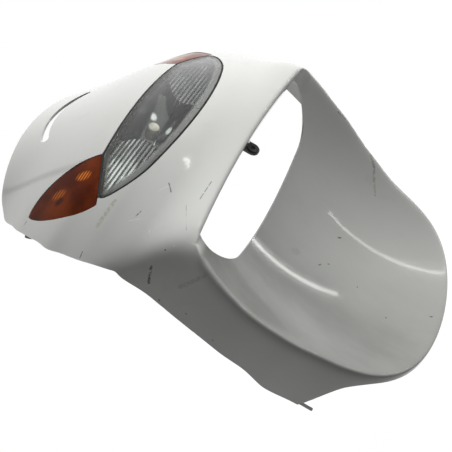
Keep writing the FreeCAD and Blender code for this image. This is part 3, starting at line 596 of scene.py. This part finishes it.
# marks of use: surface, colour, strength, width, and the line's points as x and z on that surface
MARKS = (
    (skin, SOOT, 1.0, 2.0, (-196, -70.5), (-203, -76)),
    (skin, SOOT, 0.8, 0.9, (-156.5, -30), (-149, -32)),
    (skin, SOOT, 0.8, 0.9, (-111.5, -41), (-120, -48)),
    (skin, SOOT, 0.6, 0.8, (-90, -78.5), (-118, -78)),
    (skin, SOOT, 0.7, 0.8, (-203, -1), (-209, -2)),
    (skin, GREY, 0.5, 0.6, (-130, -69), (-160, -83)),
    (skin, GREASE, 0.45, 3.0, (-148, -2), (-176, 0)),
    (skin, GREY, 0.35, 3.5, (-197, -106), (-183, -123)),
    (skin, BARE_PLASTIC, 0.9, 0.8, (-163, -26.5), (-158, -35)),
    (skin, BARE_PLASTIC, 0.9, 0.7, (-124, -36), (-115, -42)),
    (skin, BARE_PLASTIC, 0.9, 1.3, (-167, -50), (-168, -51)),
    (skin, BARE_PLASTIC, 0.9, 1.3, (-178, -79.5), (-178, -81)),
    (skin, SOOT, 0.8, 1.1, (-183, -74.5), (-183, -75)),
    (skin, SOOT, 0.7, 1.1, (-205.3, -93), (-205.3, -94)),
    (skin, SOOT, 0.7, 1.1, (-202.6, -124), (-202.6, -125)),
    (skin, SOOT, 0.7, 1.2, (-201.3, -162), (-201.3, -163)),
    (arch, SOOT, 0.7, 2.0, (176, -166), (177, -178), (177, -190), (174, -206)),
    (arch, GREY, 0.7, 2.6, (166, -232), (156, -243)),
    (arch, GREY, 0.6, 2.6, (156, -243), (141, -252)),
    (arch, GREASE, 0.6, 2.2, (141, -252), (126, -262)),
    (arch, SOOT, 0.8, 1.6, (44, -243), (46, -246)),
    (arch, SOOT, 0.7, 1.2, (-12, -235), (-9, -237)),
    (arch, SOOT, 0.7, 1.2, (-1, -245), (0, -247)),
    (arch, SOOT, 0.7, 1.2, (-7, -290), (-6, -290)),
    (arch, SOOT, 0.7, 1.4, (-31, -335), (-30, -336)),
    (arch, SOOT, 0.7, 1.4, (-1, -384), (0, -386)),
    (arch, GREY, 0.4, 7.0, (-21, -200), (-18, -203)))
ragged = white.spread(white.noise(330, 3), 0.34, 0.50)
for surface, colour, strength, width, *line in MARKS:
    on_surface = [(x, surface(x, z), z) for x, z in line]
    for start, end in zip(on_surface, on_surface[1:]):
        broken = white.maths("MULTIPLY", white.stroke(start, end, width), ragged)
        worn = white.maths("MULTIPLY", broken, strength)
        soiled = white.mix(worn, soiled, colour)
white.use("Base Color", soiled)
white.use("Roughness", white.spread(dull, 0.3, 0.7, 0.09, 0.17))
white.relief(white.noise(260, 2), 0.06, 0.0004)


def between_rings(count, steps):
    """Faces that join rings of points, each ring to the next."""
    faces = []
    for n in range(count - 1):
        for k in range(steps):
            a, b = n * steps + k, n * steps + (k + 1) % steps
            faces.append((a, a + steps, b + steps, b))
    return faces


def turned(profile, at, steps=24, follow=None):
    """Points and faces of a profile of radius and depth turned about a line along Y."""
    angles = 2 * math.pi * np.arange(steps) / steps
    rings = []
    for radius, depth in profile:
        x, z = at[0] + radius * np.cos(angles), at[1] + radius * np.sin(angles)
        y = inset(x, z, follow) if depth is None else np.full(steps, float(depth))
        rings.append(np.stack([x, y, z], axis=1))
    return np.concatenate(rings), between_rings(len(rings), steps)


def joined(parts):
    """Several lists of points and faces as one."""
    points, faces, start = [], [], 0
    for some_points, some_faces in parts:
        points.append(some_points)
        faces += [tuple(n + start for n in face) for face in some_faces]
        start += len(some_points)
    return np.concatenate(points), faces


def mirrored(points, faces):
    """The same on the other side of the vehicle, with its faces turned round again."""
    return points * [-1, 1, 1], [face[::-1] for face in faces]


def laid_flat(points, faces):
    """The same with depth and height exchanged, and its faces turned round again."""
    return points[:, [0, 2, 1]], [face[::-1] for face in faces]


def boss(x, z, standoff):
    """Screw boss behind the skin, with its pilot hole."""
    radius, pilot, depth = 5, 2, 9
    end = float(skin(x, z)) + standoff
    profile = [(radius - 0.4, None), (radius, None), (radius, end - 0.6), (radius - 0.6, end),
               (pilot, end), (pilot, end - depth), (0.1, end - depth)]
    return turned(profile, (x, z), follow=WALL / 2)


def tab(inner, z):
    """Fixing tab inside the side wall, with a hole for its clip."""
    half_width, half_length, plate, hole, setback, steps = 9.0, 7, 2.5, 3.0, 6, 32
    front = np.interp(z, REAR_EDGE[::-1, 1], REAR_EDGE[::-1, 0]) - setback - plate
    centre = inner + half_length
    turn = 2 * math.pi * (np.arange(steps) + 0.5) / steps
    ring = np.stack([centre + hole * np.cos(turn), z + hole * np.sin(turn)], axis=1)
    reach = np.maximum(np.abs(np.cos(turn)) / half_length, np.abs(np.sin(turn)) / half_width)
    edge = np.stack([centre + np.cos(turn) / reach, z + np.sin(turn) / reach], axis=1)
    wall = root(np.zeros(steps), 240, lambda x: inset(x, edge[:, 1], WALL / 2) - front - plate / 2)
    far = np.cos(turn) / reach > half_length - 0.01
    edge[:, 0] = np.where(far, wall, edge[:, 0])
    back = front + plate
    loops = ((ring, back), (edge, back), (edge, front), (ring, front), (ring, back))
    points = np.concatenate([np.insert(loop, 1, depth, axis=1) for loop, depth in loops])
    return points, [face[::-1] for face in between_rings(len(loops), steps)]


def peg():
    """Locating peg that points down past the side wall's lower corner."""
    depth, edge, radius, steps = 149.5, -285.44, 2.0, 20
    x = float(root(0.0, 240.0, lambda v: skin(v, edge) - depth)) - WALL / 2
    rings = [(radius, 12), (radius, -14.6), (0.8 * radius, -15.6), (0.1, -16)]
    return laid_flat(*turned([(r, edge + h) for r, h in rings], (x, depth), steps))


fixings = {
    "upper_cover": [boss(62, 60, 16), boss(117, 85, 17.5), tab(100, 103)],
    "lower_cover": [boss(72, -40, 34.5), tab(176, -66), tab(160, -236), peg()],
}
skin_points, skin_faces = grid_faces(cover_skin())
for field in (outside_window, outside_slot, outside_fork, off_seam):
    skin_points, skin_faces = trimmed(skin_points, skin_faces, field)
# x and z of the line that parts the covers: through the window, then along the seam
PARTING = np.array([(0, 0), LENS_CORNER, (138, 51), LEAF_TIP, SEAM_END]).T
centres = np.array([skin_points[list(face)].mean(axis=0) for face in skin_faces])
above = centres[:, 2] > np.interp(np.abs(centres[:, 0]), *PARTING)
for name, keep in (("upper_cover", above), ("lower_cover", ~above)):
    faces = [face for face, wanted in zip(skin_faces, keep) if wanted]
    cover = piece(f"{name}_shell", *compact(skin_points, faces), white.material, WALL)
    both_sides = joined(fixings[name] + [mirrored(*part) for part in fixings[name]])
    extra = piece(f"{name}_fixings", *both_sides, white.material)
    both = bmesh.new()
    both.from_mesh(cover.data)
    both.from_mesh(extra.data)
    both.to_mesh(cover.data)
    both.free()
    bpy.data.objects.remove(extra)
    x, y, z = places_of(cover)
    # how far from the hollow the road film and painted shade reach
    darkened_reach = 11
    near_hollow = np.exp(-((y - arch(x, np.minimum(z, 0))) / darkened_reach) ** 2)
    mark(cover, "wheel_side", near_hollow * ramp(lip(x) - z, 2, 14))
    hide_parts(name)
    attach(cover, "root")

# Headlight lens: one clear polycarbonate moulding, flush with the covers and 3 mm thick,
# welded to the housing behind it.


def flat_grid(x, z):
    """Points and faces of a grid of the front view."""
    across, height = np.meshgrid(x, z)
    return grid_faces(np.stack([across, 0 * across, height], axis=2))


def patch(outline, depth, step):
    """Sheet of the front view inside an outline, at a depth for each place."""
    low, high = np.min(outline, axis=0), np.max(outline, axis=0)
    x = np.arange(low[0] - step, high[0] + 2 * step, step)
    z = np.arange(high[1] + step, low[1] - 2 * step, -step)
    points, faces = trimmed(*flat_grid(x, z), lambda p: -distance(outline, p[:, 0], p[:, 2]))
    points[:, 1] = depth(points[:, 0], points[:, 2])
    return points, faces


FLUSH = 0.4
CLEAR, RIM, SILL = (0.93, 0.95, 0.94), (0.42, 0.43, 0.40), (0.38, 0.39, 0.37)
clear = Finish("clear_polycarbonate", CLEAR, 0.02, Transmission_Weight=1.0, IOR=1.45)
border, sill = clear.read("border"), clear.read("sill")
clear.use("Base Color", clear.mix(sill, clear.mix(border, CLEAR, RIM), SILL))
clear.use("Transmission Weight", clear.spread(sill, 0.0, 1.0, 1.0, 0.5))
scuffs = clear.spread(clear.noise(30, 5), 0.45, 0.75, 0.015, 0.09)
clear.use("Roughness", clear.maths("ADD", scuffs, clear.maths("MULTIPLY", border, 0.25)))
lens_sheet = compact(*patch(LENS, lambda x, z: inset(x, z, FLUSH), 2.5))
lens = piece("headlight_clear_lens", *lens_sheet, clear.material, 3.0)
x, y, z = places_of(lens)
welded_rim = 1 - ramp(-distance(LENS, x, z), 5.5, 7.5)
mark(lens, "border", welded_rim)
mark(lens, "sill", welded_rim * (1 - ramp(z, -2, 12)))
lens.visible_shadow = False
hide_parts("headlight_lens")
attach(lens, "root")

# Reflector: moulded plastic with a vapour coat of chrome, whose low tone is painted shade for the dark that
# it reflects inside the lamp; glints and highlights on the flutes' crests are painted on it too. A paraboloid
# bowl sits round the bulb, a row of flutes fills each wing, and straight walls run up to the lens.
FLUTE_PITCH = 4.6
BULB_HEIGHT = 18
CHROME_WITH_PAINTED_SHADE, TARNISHED, PAINTED_HIGHLIGHT = (0.105, 0.11, 0.105), (0.06, 0.065, 0.06), (0.85, 0.87, 0.85)
chrome = Finish("chrome_with_painted_light", CHROME_WITH_PAINTED_SHADE, 0.07, metallic=1.0)
chrome.uneven(55, 4, 0.35, 0.7, 0.05, 0.16)
# blotchy tarnish over the low tone that is painted shade
coat_with_painted_shade = chrome.blotchy(14, 4, 0.4, 0.7, CHROME_WITH_PAINTED_SHADE, TARNISHED)
# painted glints on the coat: x, z, half width and half height
painted_glints = [chrome.oval(*spot) for spot in (
    (33, 30, 4, 6), (29, 6, 5, 5), (8, 8, 5, 6), (-105, 8, 7, 2.5), (-91, 3, 8, 2.5), (125, 8, 6, 3),
    (48, -7, 5, 3), (-20, -19.5, 14, 2.5), (7, 38, 6, 2))]
painted_gleam = painted_glints[0]
for glint in painted_glints[1:]:
    painted_gleam = chrome.maths("MAXIMUM", painted_gleam, glint)
# painted highlights along the flutes' crests, broken by noise, full inside two ovals and held at 0.3
# elsewhere
highlight_breakup = chrome.spread(chrome.noise(38, 4, (0.5, 0.2, 2.2)), 0.38, 0.62, 0.25, 1.0)
painted_stripe_region = chrome.maths("MAXIMUM", chrome.oval(-95, 10, 75, 45), chrome.oval(124, 20, 16, 10))
crest = chrome.maths("MULTIPLY", chrome.maths("MULTIPLY", chrome.read("flute"), highlight_breakup),
                     chrome.maths("MAXIMUM", painted_stripe_region, 0.3))
painted_shine = chrome.maths("MAXIMUM", chrome.maths("MULTIPLY", painted_gleam, 0.95), chrome.maths("MULTIPLY", crest, 0.9))
chrome.use("Base Color", chrome.mix(painted_shine, coat_with_painted_shade, PAINTED_HIGHLIGHT))


def wing_share(x, z):
    """0 in the bowl and 1 on the fluted wings, whose inner border bulges towards the bulb."""
    inner, middle, bulge = 40, 8, 30
    return ramp(np.abs(x) - inner - (z - middle) ** 2 / bulge, 0, 1.2)


def flute_height(z):
    """Height of the flutes' round backs, 0 between two flutes."""
    radius = 2.6
    off = (z + FLUTE_PITCH / 2) % FLUTE_PITCH - FLUTE_PITCH / 2
    return np.sqrt(radius ** 2 - off ** 2) - math.sqrt(radius ** 2 - FLUTE_PITCH ** 2 / 4)


def reflector_depth(x, z):
    """Depth of the reflector: the bowl, and the wings with their flutes."""
    vertex, focus, shoulder, wing_depth, wing_fall, clear_of_skin = 93, 17, 53, 41, 6, 9
    bowl = np.maximum(vertex - (x ** 2 + (z - BULB_HEIGHT) ** 2) / (4 * focus), shoulder)
    wing = wing_depth + wing_fall * ramp(np.abs(x), 60, 140)
    wing = np.maximum(wing, inset(x, z, clear_of_skin)) - flute_height(z)
    share = wing_share(x, z)
    return bowl * (1 - share) + wing * share


def off_axis(points):
    """Distance from the bulb's axis."""
    return np.hypot(points[:, 0], points[:, 2] - BULB_HEIGHT)


def fluted_patch():
    """The reflector's sheet: fine across its flutes, with walls from its edge to the lens."""
    edge_gap, bulb_hole, rim_depth = 5.4, 8.5, 6.4
    grid = flat_grid(np.arange(-148, 149, 1.6), np.arange(78, -46, -1) * FLUTE_PITCH / 8)
    inside = trimmed(*grid, lambda p: -edge_gap - distance(LENS, p[:, 0], p[:, 2]))
    points, faces = compact(*trimmed(*inside, lambda p: off_axis(p) - bulb_hole))
    points[:, 1] = reflector_depth(points[:, 0], points[:, 2])
    edges = {}
    for face in faces:
        for pair in zip(face, face[1:] + face[:1]):
            key = (min(pair), max(pair))
            edges[key] = None if key in edges else pair
    past_hole = off_axis(points) > bulb_hole + 3.5
    border = [pair for pair in edges.values() if pair and past_hole[pair[0]]]
    rim = sorted({n for pair in border for n in pair})
    lifted = {old: len(points) + new for new, old in enumerate(rim)}
    top = points[rim].copy()
    top[:, 1] = inset(top[:, 0], top[:, 2], rim_depth)
    walls = [(b, a, lifted[a], lifted[b]) for a, b in border]
    return np.concatenate([points, top]), faces + walls


reflector = piece("headlight_fluted_reflector", *fluted_patch(), chrome.material, 1.5, sharp=32)
x, y, z = places_of(reflector)
mark(reflector, "flute", wing_share(x, z) * ramp(flute_height(z), 0.35, 1.2))
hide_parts("headlight_reflector")
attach(reflector, "root")

# Headlight bulb: a glass tube with a cream painted cap over its front. A zinc plated collar holds
# it in the reflector's neck.
bulb_glass = Finish("bulb_glass", (0.95, 0.95, 0.93), 0.03, Transmission_Weight=1.0, IOR=1.47)
bulb_glass.uneven(90, 3, 0.4, 0.7, 0.02, 0.08)
cream = Finish("cream_bulb_paint", (0.72, 0.70, 0.60), 0.45)
cream.use("Base Color", cream.blotchy(160, 4, 0.4, 0.65, (0.76, 0.74, 0.64), (0.60, 0.58, 0.48)))
steel = Finish("zinc_plated_steel", (0.55, 0.55, 0.53), 0.36, metallic=1.0)
steel.uneven(240, 4, 0.3, 0.7, 0.28, 0.5, stretch=(1, 1, 0.15))
steel.use("Base Color", steel.blotchy(70, 4, 0.5, 0.75, (0.58, 0.58, 0.56), (0.42, 0.40, 0.36)))
# radius and depth of each profile, from the back to the front
tube_profile = [(7.2, 95), (7.4, 92), (7.4, 70), (0.1, 69.5)]
cap_profile = [(7.5, 72.5), (7.5, 58.5), (6.6, 56.4), (4.4, 55.3), (0.1, 55)]
collar_profile = [(8.3, 95), (8.3, 86.5), (7.7, 86)]
tube, cap, collar = (
    piece(name, *turned(profile, (0, BULB_HEIGHT), 32), finish.material)
    for name, profile, finish in (("bulb_tube", tube_profile, bulb_glass), ("bulb_cap", cap_profile, cream),
                                  ("bulb_collar", collar_profile, steel)))
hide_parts("headlight_bulb")
for part, slot_name in ((tube, "bulb_glass"), (cap, "bulb_glass"), (collar, "zinc_steel")):
    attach(part, "root")

# Indicator lenses: amber acrylic leaves, flush with the covers. Two bright patches with fine bars across each
# leaf are painted highlights, standing for the light that fluted reflectors behind them throw.
amber = Finish("amber_acrylic", (0.14, 0.024, 0.004), 0.05, Specular_IOR_Level=0.05)
bar_pitch = 0.003
bars = amber.maths("SINE", amber.maths("MULTIPLY", amber.axes()["Z"], 2 * math.pi / bar_pitch))
bars = amber.spread(bars, -0.35, 0.6, 0.15, 1.0)
# x, z, half width and half height of the two painted highlights and of the dark spot beside the outer one
inner_spot, outer_spot, dark_spot = (
    amber.maths("MAXIMUM", amber.oval(across, *rest), amber.oval(-across, *rest))
    for across, *rest in ((124, 45, 8, 9), (145, 59, 8, 8), (154, 53.5, 7, 5)))
painted_patches = amber.maths("MAXIMUM", inner_spot, amber.maths("MULTIPLY", outer_spot, 0.5))
tone = amber.blotchy(26, 4, 0.35, 0.68, (0.10, 0.014, 0.002), (0.23, 0.040, 0.005))
with_painted_patches = amber.mix(amber.maths("MULTIPLY", painted_patches, bars), tone, (0.95, 0.26, 0.03))
amber.use("Base Color", amber.mix(amber.maths("MULTIPLY", dark_spot, 0.75), with_painted_patches, (0.035, 0.010, 0.005)))
leaf = compact(*patch(LEAF, lambda x, z: inset(x, z, FLUSH), 2.0))
for side_name, shape in (("right", leaf), ("left", mirrored(*leaf))):
    leaf_lens = piece(f"indicator_amber_lens_{side_name}", *shape, amber.material, 2.5)
    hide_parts(f"indicator_lens_{side_name}")
    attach(leaf_lens, "root")

# Centre stay: a bracket of pressed steel with a round eye for the frame's screw, painted black.
# Its foot lies on the flange of the chin's lip and is screwed down there.
BLACK_PAINT, BROWN_BLOOM = (0.022, 0.022, 0.024), (0.10, 0.07, 0.05)
stay_paint = Finish("satin_black_paint", BLACK_PAINT, 0.38)
stay_paint.use("Base Color", stay_paint.blotchy(110, 5, 0.62, 0.72, BLACK_PAINT, BROWN_BLOOM))
STAY_HALF, STAY_PLATE, STAY_EYE = 8.5, 2.5, 4.5
stay_low, stay_high = (np.array(corner) * 1000 + STAY_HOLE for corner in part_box("centre_stay"))
stay_front, stay_back, stay_top, eye_height = stay_low[1], stay_high[1], stay_high[2], STAY_HOLE[2]
round_end = arc((STAY_HALF, eye_height), (0, eye_height - STAY_HALF), (-STAY_HALF, eye_height))
leg_outline = [(-STAY_HALF, stay_top), (STAY_HALF, stay_top)] + round_end + [(-STAY_HALF, eye_height)]
leg = patch(leg_outline, lambda x, z: 0 * x + stay_back - STAY_PLATE, 1.0)
leg = compact(*trimmed(*leg, lambda p: np.hypot(p[:, 0], p[:, 2] - eye_height) - STAY_EYE))
foot_outline = [(-STAY_HALF, stay_back), (STAY_HALF, stay_back)] + arc(
    (STAY_HALF, stay_front + STAY_HALF), (0, stay_front), (-STAY_HALF, stay_front + STAY_HALF))
foot = laid_flat(*compact(*patch(foot_outline, lambda x, z: 0 * x + stay_top, 1.0)))
stay = piece("centre_stay_bracket", *joined([leg, foot]), stay_paint.material, STAY_PLATE)
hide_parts("centre_stay")
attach(stay, "root")

# Screws: zinc plated pan heads with a cross recess, driven from inside into the covers' bosses.
# A seventh holds the stay on the lip's flange.
SCREW = {"Head Radius": 0.0045, "Head Height": 0.0026, "Shank Radius": 0.0019, "Recess": 0.0011}
screw_nodes = [node for node in frame["nodes"] if "screw" in node and node != "aiming_screw"]
driven = {node: Vector((0, 0, 1)) if node == "stay_screw" else Vector((0, 1, 0)) for node in screw_nodes}
places, lengths = [], []
for node in screw_nodes:
    low, high = (Vector(corner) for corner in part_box(node))
    axis, middle = driven[node], (low + high) / 2
    length = (high - low).dot(axis)
    places.append(middle + axis * (length / 2 - SCREW["Head Height"]))
    lengths.append(length - SCREW["Head Height"])
screw_places = bpy.data.meshes.new("screws")
screw_places.from_pydata(places, [], [])
screw_places.attributes.new("axis", "FLOAT_VECTOR", "POINT").data.foreach_set(
    "vector", [value for node in screw_nodes for value in driven[node]])
screw_places.attributes.new("shank", "FLOAT_VECTOR", "POINT").data.foreach_set(
    "vector", [value for length in lengths for value in (1, 1, length)])
screw_tree = bpy.data.node_groups.new("pan_head_screws", "GeometryNodeTree")
screw_tree.interface.new_socket("Geometry", in_out="INPUT", socket_type="NodeSocketGeometry")
for size in SCREW:
    screw_tree.interface.new_socket(size, in_out="INPUT", socket_type="NodeSocketFloat")
screw_tree.interface.new_socket("Material", in_out="INPUT", socket_type="NodeSocketMaterial")
screw_tree.interface.new_socket("Geometry", in_out="OUTPUT", socket_type="NodeSocketGeometry")


def screw_node(kind, inputs=(), **settings):
    return new_node(screw_tree, kind, inputs, **settings)


def product(first, second):
    """Product of two outputs or numbers in the screws' tree."""
    return screw_node("ShaderNodeMath", {0: first, 1: second}, operation="MULTIPLY").outputs[0]


given = screw_node("NodeGroupInput").outputs
head = screw_node("GeometryNodeMeshCone", {
    "Vertices": 28, "Radius Top": product(given["Head Radius"], 0.72), "Radius Bottom": given["Head Radius"],
    "Depth": given["Head Height"]})
slots = screw_node("GeometryNodeJoinGeometry")
for across in ("X", "Y"):
    long_side = product(given["Head Radius"], 1.15)
    sides = {"X": given["Recess"], "Y": given["Recess"], "Z": given["Head Height"], across: long_side}
    block = screw_node("GeometryNodeMeshCube", {"Size": screw_node("ShaderNodeCombineXYZ", sides).outputs[0]})
    raised = screw_node("GeometryNodeTransform", {
        "Geometry": block.outputs["Mesh"],
        "Translation": screw_node("ShaderNodeCombineXYZ", {"Z": given["Head Height"]}).outputs[0]})
    screw_tree.links.new(raised.outputs["Geometry"], slots.inputs["Geometry"])
recessed = screw_node("GeometryNodeMeshBoolean", {
    "Mesh 1": head.outputs["Mesh"], "Mesh 2": slots.outputs["Geometry"]}, operation="DIFFERENCE")
rod = screw_node("GeometryNodeMeshCylinder", {"Vertices": 20, "Radius": given["Shank Radius"], "Depth": 1.0})
hung = screw_node("GeometryNodeTransform", {"Geometry": rod.outputs["Mesh"], "Translation": (0, 0, -0.5)})
carried = [screw_node("GeometryNodeInputNamedAttribute", {"Name": name}, data_type="FLOAT_VECTOR")
           for name in ("axis", "shank")]
axis, shank = (node.outputs["Attribute"] for node in carried)
aimed = screw_node("FunctionNodeAlignRotationToVector", {"Vector": axis}, axis="Z").outputs["Rotation"]
heads = screw_node("GeometryNodeInstanceOnPoints", {
    "Points": given["Geometry"], "Instance": recessed.outputs["Mesh"], "Rotation": aimed})
rods = screw_node("GeometryNodeInstanceOnPoints", {
    "Points": given["Geometry"], "Instance": hung.outputs["Geometry"], "Rotation": aimed, "Scale": shank})
whole = screw_node("GeometryNodeJoinGeometry")
for part in (heads, rods):
    screw_tree.links.new(part.outputs["Instances"], whole.inputs["Geometry"])
realized = screw_node("GeometryNodeRealizeInstances", {"Geometry": whole.outputs["Geometry"]})
finished = screw_node("GeometryNodeSetMaterial", {
    "Geometry": realized.outputs["Geometry"], "Material": given["Material"]})
screw_node("NodeGroupOutput", {"Geometry": finished.outputs["Geometry"]})
screws = placed("pan_head_screws", screw_places)
maker = screws.modifiers.new("screws", "NODES")
maker.node_group = screw_tree
for socket in screw_tree.interface.items_tree:
    if socket.in_out == "INPUT" and socket.name in SCREW:
        maker[socket.identifier] = SCREW[socket.name]
    elif socket.in_out == "INPUT" and socket.name == "Material":
        maker[socket.identifier] = steel.material
settle(screws)
crisp(screws.data, 35)
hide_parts(*screw_nodes)
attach(screws, "root")

# Housings, sockets, boot, seal, grommet, clips, aiming screw and indicator bulbs: moulded plastic,
# rubber, zinc plated steel and glass, screwed or pushed in behind the covers. They keep the shapes
# that the frame gives them.
moulded = Finish("moulded_black", (0.028, 0.028, 0.028), 0.5)
moulded.uneven(120, 3, 0.3, 0.7, 0.42, 0.62)
moulded.relief(moulded.noise(700, 2), 0.25, 0.0003)
BLACK_RUBBER, DUSTY_RUBBER = (0.016, 0.016, 0.016), (0.06, 0.058, 0.055)
rubber = Finish("black_rubber", BLACK_RUBBER, 0.75)
rubber.use("Base Color", rubber.blotchy(60, 4, 0.5, 0.75, BLACK_RUBBER, DUSTY_RUBBER))
rubber.relief(rubber.noise(500, 2), 0.3, 0.0003)
slot_finish = {"black_plastic": moulded, "black_rubber": rubber, "zinc_steel": steel,
               "bulb_glass": bulb_glass}
for subpart in frame["record"]["subparts"]:
    node = frame["nodes"][subpart["node"]]
    if subpart["material_slot"] in slot_finish and not node.hide_render:
        node.data.materials.clear()
        node.data.materials.append(slot_finish[subpart["material_slot"]].material)

# Floor: a wide pale sheet just under the part. It keeps the part's shadow, looks white to the
# camera and through glass, and throws back little light, so that walls turned down stay grey.
def seen_in(tree):
    """1 for rays of the camera, of gloss and of glass, 0 for light on its way to a surface."""
    rays = tree.nodes.new("ShaderNodeLightPath").outputs
    seen = rays["Is Camera Ray"]
    for kind in ("Is Glossy Ray", "Is Transmission Ray"):
        seen = new_node(tree, "ShaderNodeMath", {0: seen, 1: rays[kind]}, operation="MAXIMUM").outputs[0]
    return seen


def card(name, corners, material):
    """Flat sheet with four corners."""
    mesh = bpy.data.meshes.new(name)
    mesh.from_pydata(corners, [], [(0, 1, 2, 3)])
    mesh.materials.append(material)
    return placed(name, mesh)


FLOOR_TONE, HELD_BACK, GLOW_SHARE, FLOOR_REACH = 0.82, 0.62, 0.8, 12.0
floor_finish = Finish("pale_floor", (FLOOR_TONE,) * 3, 0.9)
bounced = floor_finish.add("ShaderNodeLightPath").outputs["Is Diffuse Ray"]
dimmed = floor_finish.maths("MULTIPLY", bounced, HELD_BACK)
floor_finish.use("Base Color", floor_finish.maths("SUBTRACT", FLOOR_TONE, dimmed))
pale = floor_finish.add("ShaderNodeEmission", {"Strength": 1.2})
floor_glow = floor_finish.maths("MULTIPLY", seen_in(floor_finish.tree), GLOW_SHARE)
blend = floor_finish.add("ShaderNodeMixShader", {
    "Fac": floor_glow, 1: floor_finish.shader.outputs["BSDF"], 2: pale.outputs["Emission"]})
shown = floor_finish.tree.nodes["Material Output"].inputs["Surface"]
floor_finish.tree.links.new(blend.outputs["Shader"], shown)
floor_level = cad_box[0][2] - 0.0005
floor = card("floor", [(FLOOR_REACH * across, FLOOR_REACH * along, floor_level)
                       for across, along in ((-1, -1), (1, -1), (1, 1), (-1, 1))], floor_finish.material)
floor.visible_glossy = False

# Backdrop: white to the camera and in gloss and glass, and only a weak fill to everything else.
FILL, SEEN = 0.035, 1.0
world = bpy.data.worlds.new("white_studio")
bpy.context.scene.world = world
world.use_nodes = True
tree = world.node_tree
sky = tree.nodes["Background"].inputs
sky["Color"].default_value = (1, 1, 1, 1)
level = new_node(tree, "ShaderNodeMapRange", {"Value": seen_in(tree), "To Min": FILL, "To Max": SEEN})
tree.links.new(level.outputs["Result"], sky["Strength"])


# Lamps: a large soft key on the side that the photograph shows lit, a weak one from behind for
# the inside of the covers, and two long tubes that draw the fine highlights on the gloss.
def sun(name, toward, strength, angle):
    """Soft lamp from a direction, the same over the whole floor."""
    light = bpy.data.lights.new(name, "SUN")
    light.energy = strength
    light.angle = math.radians(angle)
    obj = placed(name, light)
    obj.matrix_world = Vector(toward).to_track_quat("Z", "Y").to_matrix().to_4x4()
    obj.visible_glossy = obj.visible_transmission = False


sun("key", (0.74, -0.57, 0.36), 3.8, 36)
sun("behind", (-0.15, 0.85, 0.50), 0.8, 50)

TUBE_HALF_WIDTH = 0.025
glow = Finish("tube_glow", (0.8, 0.8, 0.8), 0.5, Emission_Color=(1, 1, 0.97, 1), Emission_Strength=13.0)
for number, ends in enumerate((((1.15, -2.0, -1.35), (0.80, -2.0, 0.75)),
                               ((2.0, -0.3, -1.30), (2.0, -1.3, -0.80)))):
    start, end = (Vector(point) for point in ends)
    across = (end - start).cross((start + end) / 2).normalized() * TUBE_HALF_WIDTH
    corners = [start - across, end - across, end + across, start + across]
    tube_lamp = card(f"tube_lamp_{number}", corners, glow.material)
    tube_lamp.visible_camera = tube_lamp.visible_diffuse = tube_lamp.visible_shadow = False
    tube_lamp.visible_transmission = False

# Camera: at the place, angle and framing of the photograph, found by fitting points of the part.
# Pixel sizes are those of the photograph.
PICTURE, SENSOR = 452, 36
FOCAL_PIXELS, CENTRE_ACROSS, CENTRE_DOWN = 802.879, 217.988, 237.512
camera_data = bpy.data.cameras.new("photo_camera")
camera_data.sensor_width = SENSOR
camera_data.lens = FOCAL_PIXELS * SENSOR / PICTURE
camera_data.shift_x = (PICTURE / 2 - CENTRE_ACROSS) / PICTURE
camera_data.shift_y = (CENTRE_DOWN - PICTURE / 2) / PICTURE
camera_data.clip_start = 0.01
camera = placed("photo_camera", camera_data)
right = Vector((0.383496, -0.316365, -0.867666))
down = Vector((-0.652217, 0.572390, -0.496974))
forward = Vector((0.653868, 0.756494, 0.013170))
stand = Vector((-0.676586, -0.620079, -0.028136))
turn = Matrix((right, -down, -forward)).transposed().to_4x4()
camera.matrix_world = Matrix.Translation(stand) @ turn
bpy.context.scene.camera = camera
bpy.context.scene.view_settings.view_transform = "Standard"
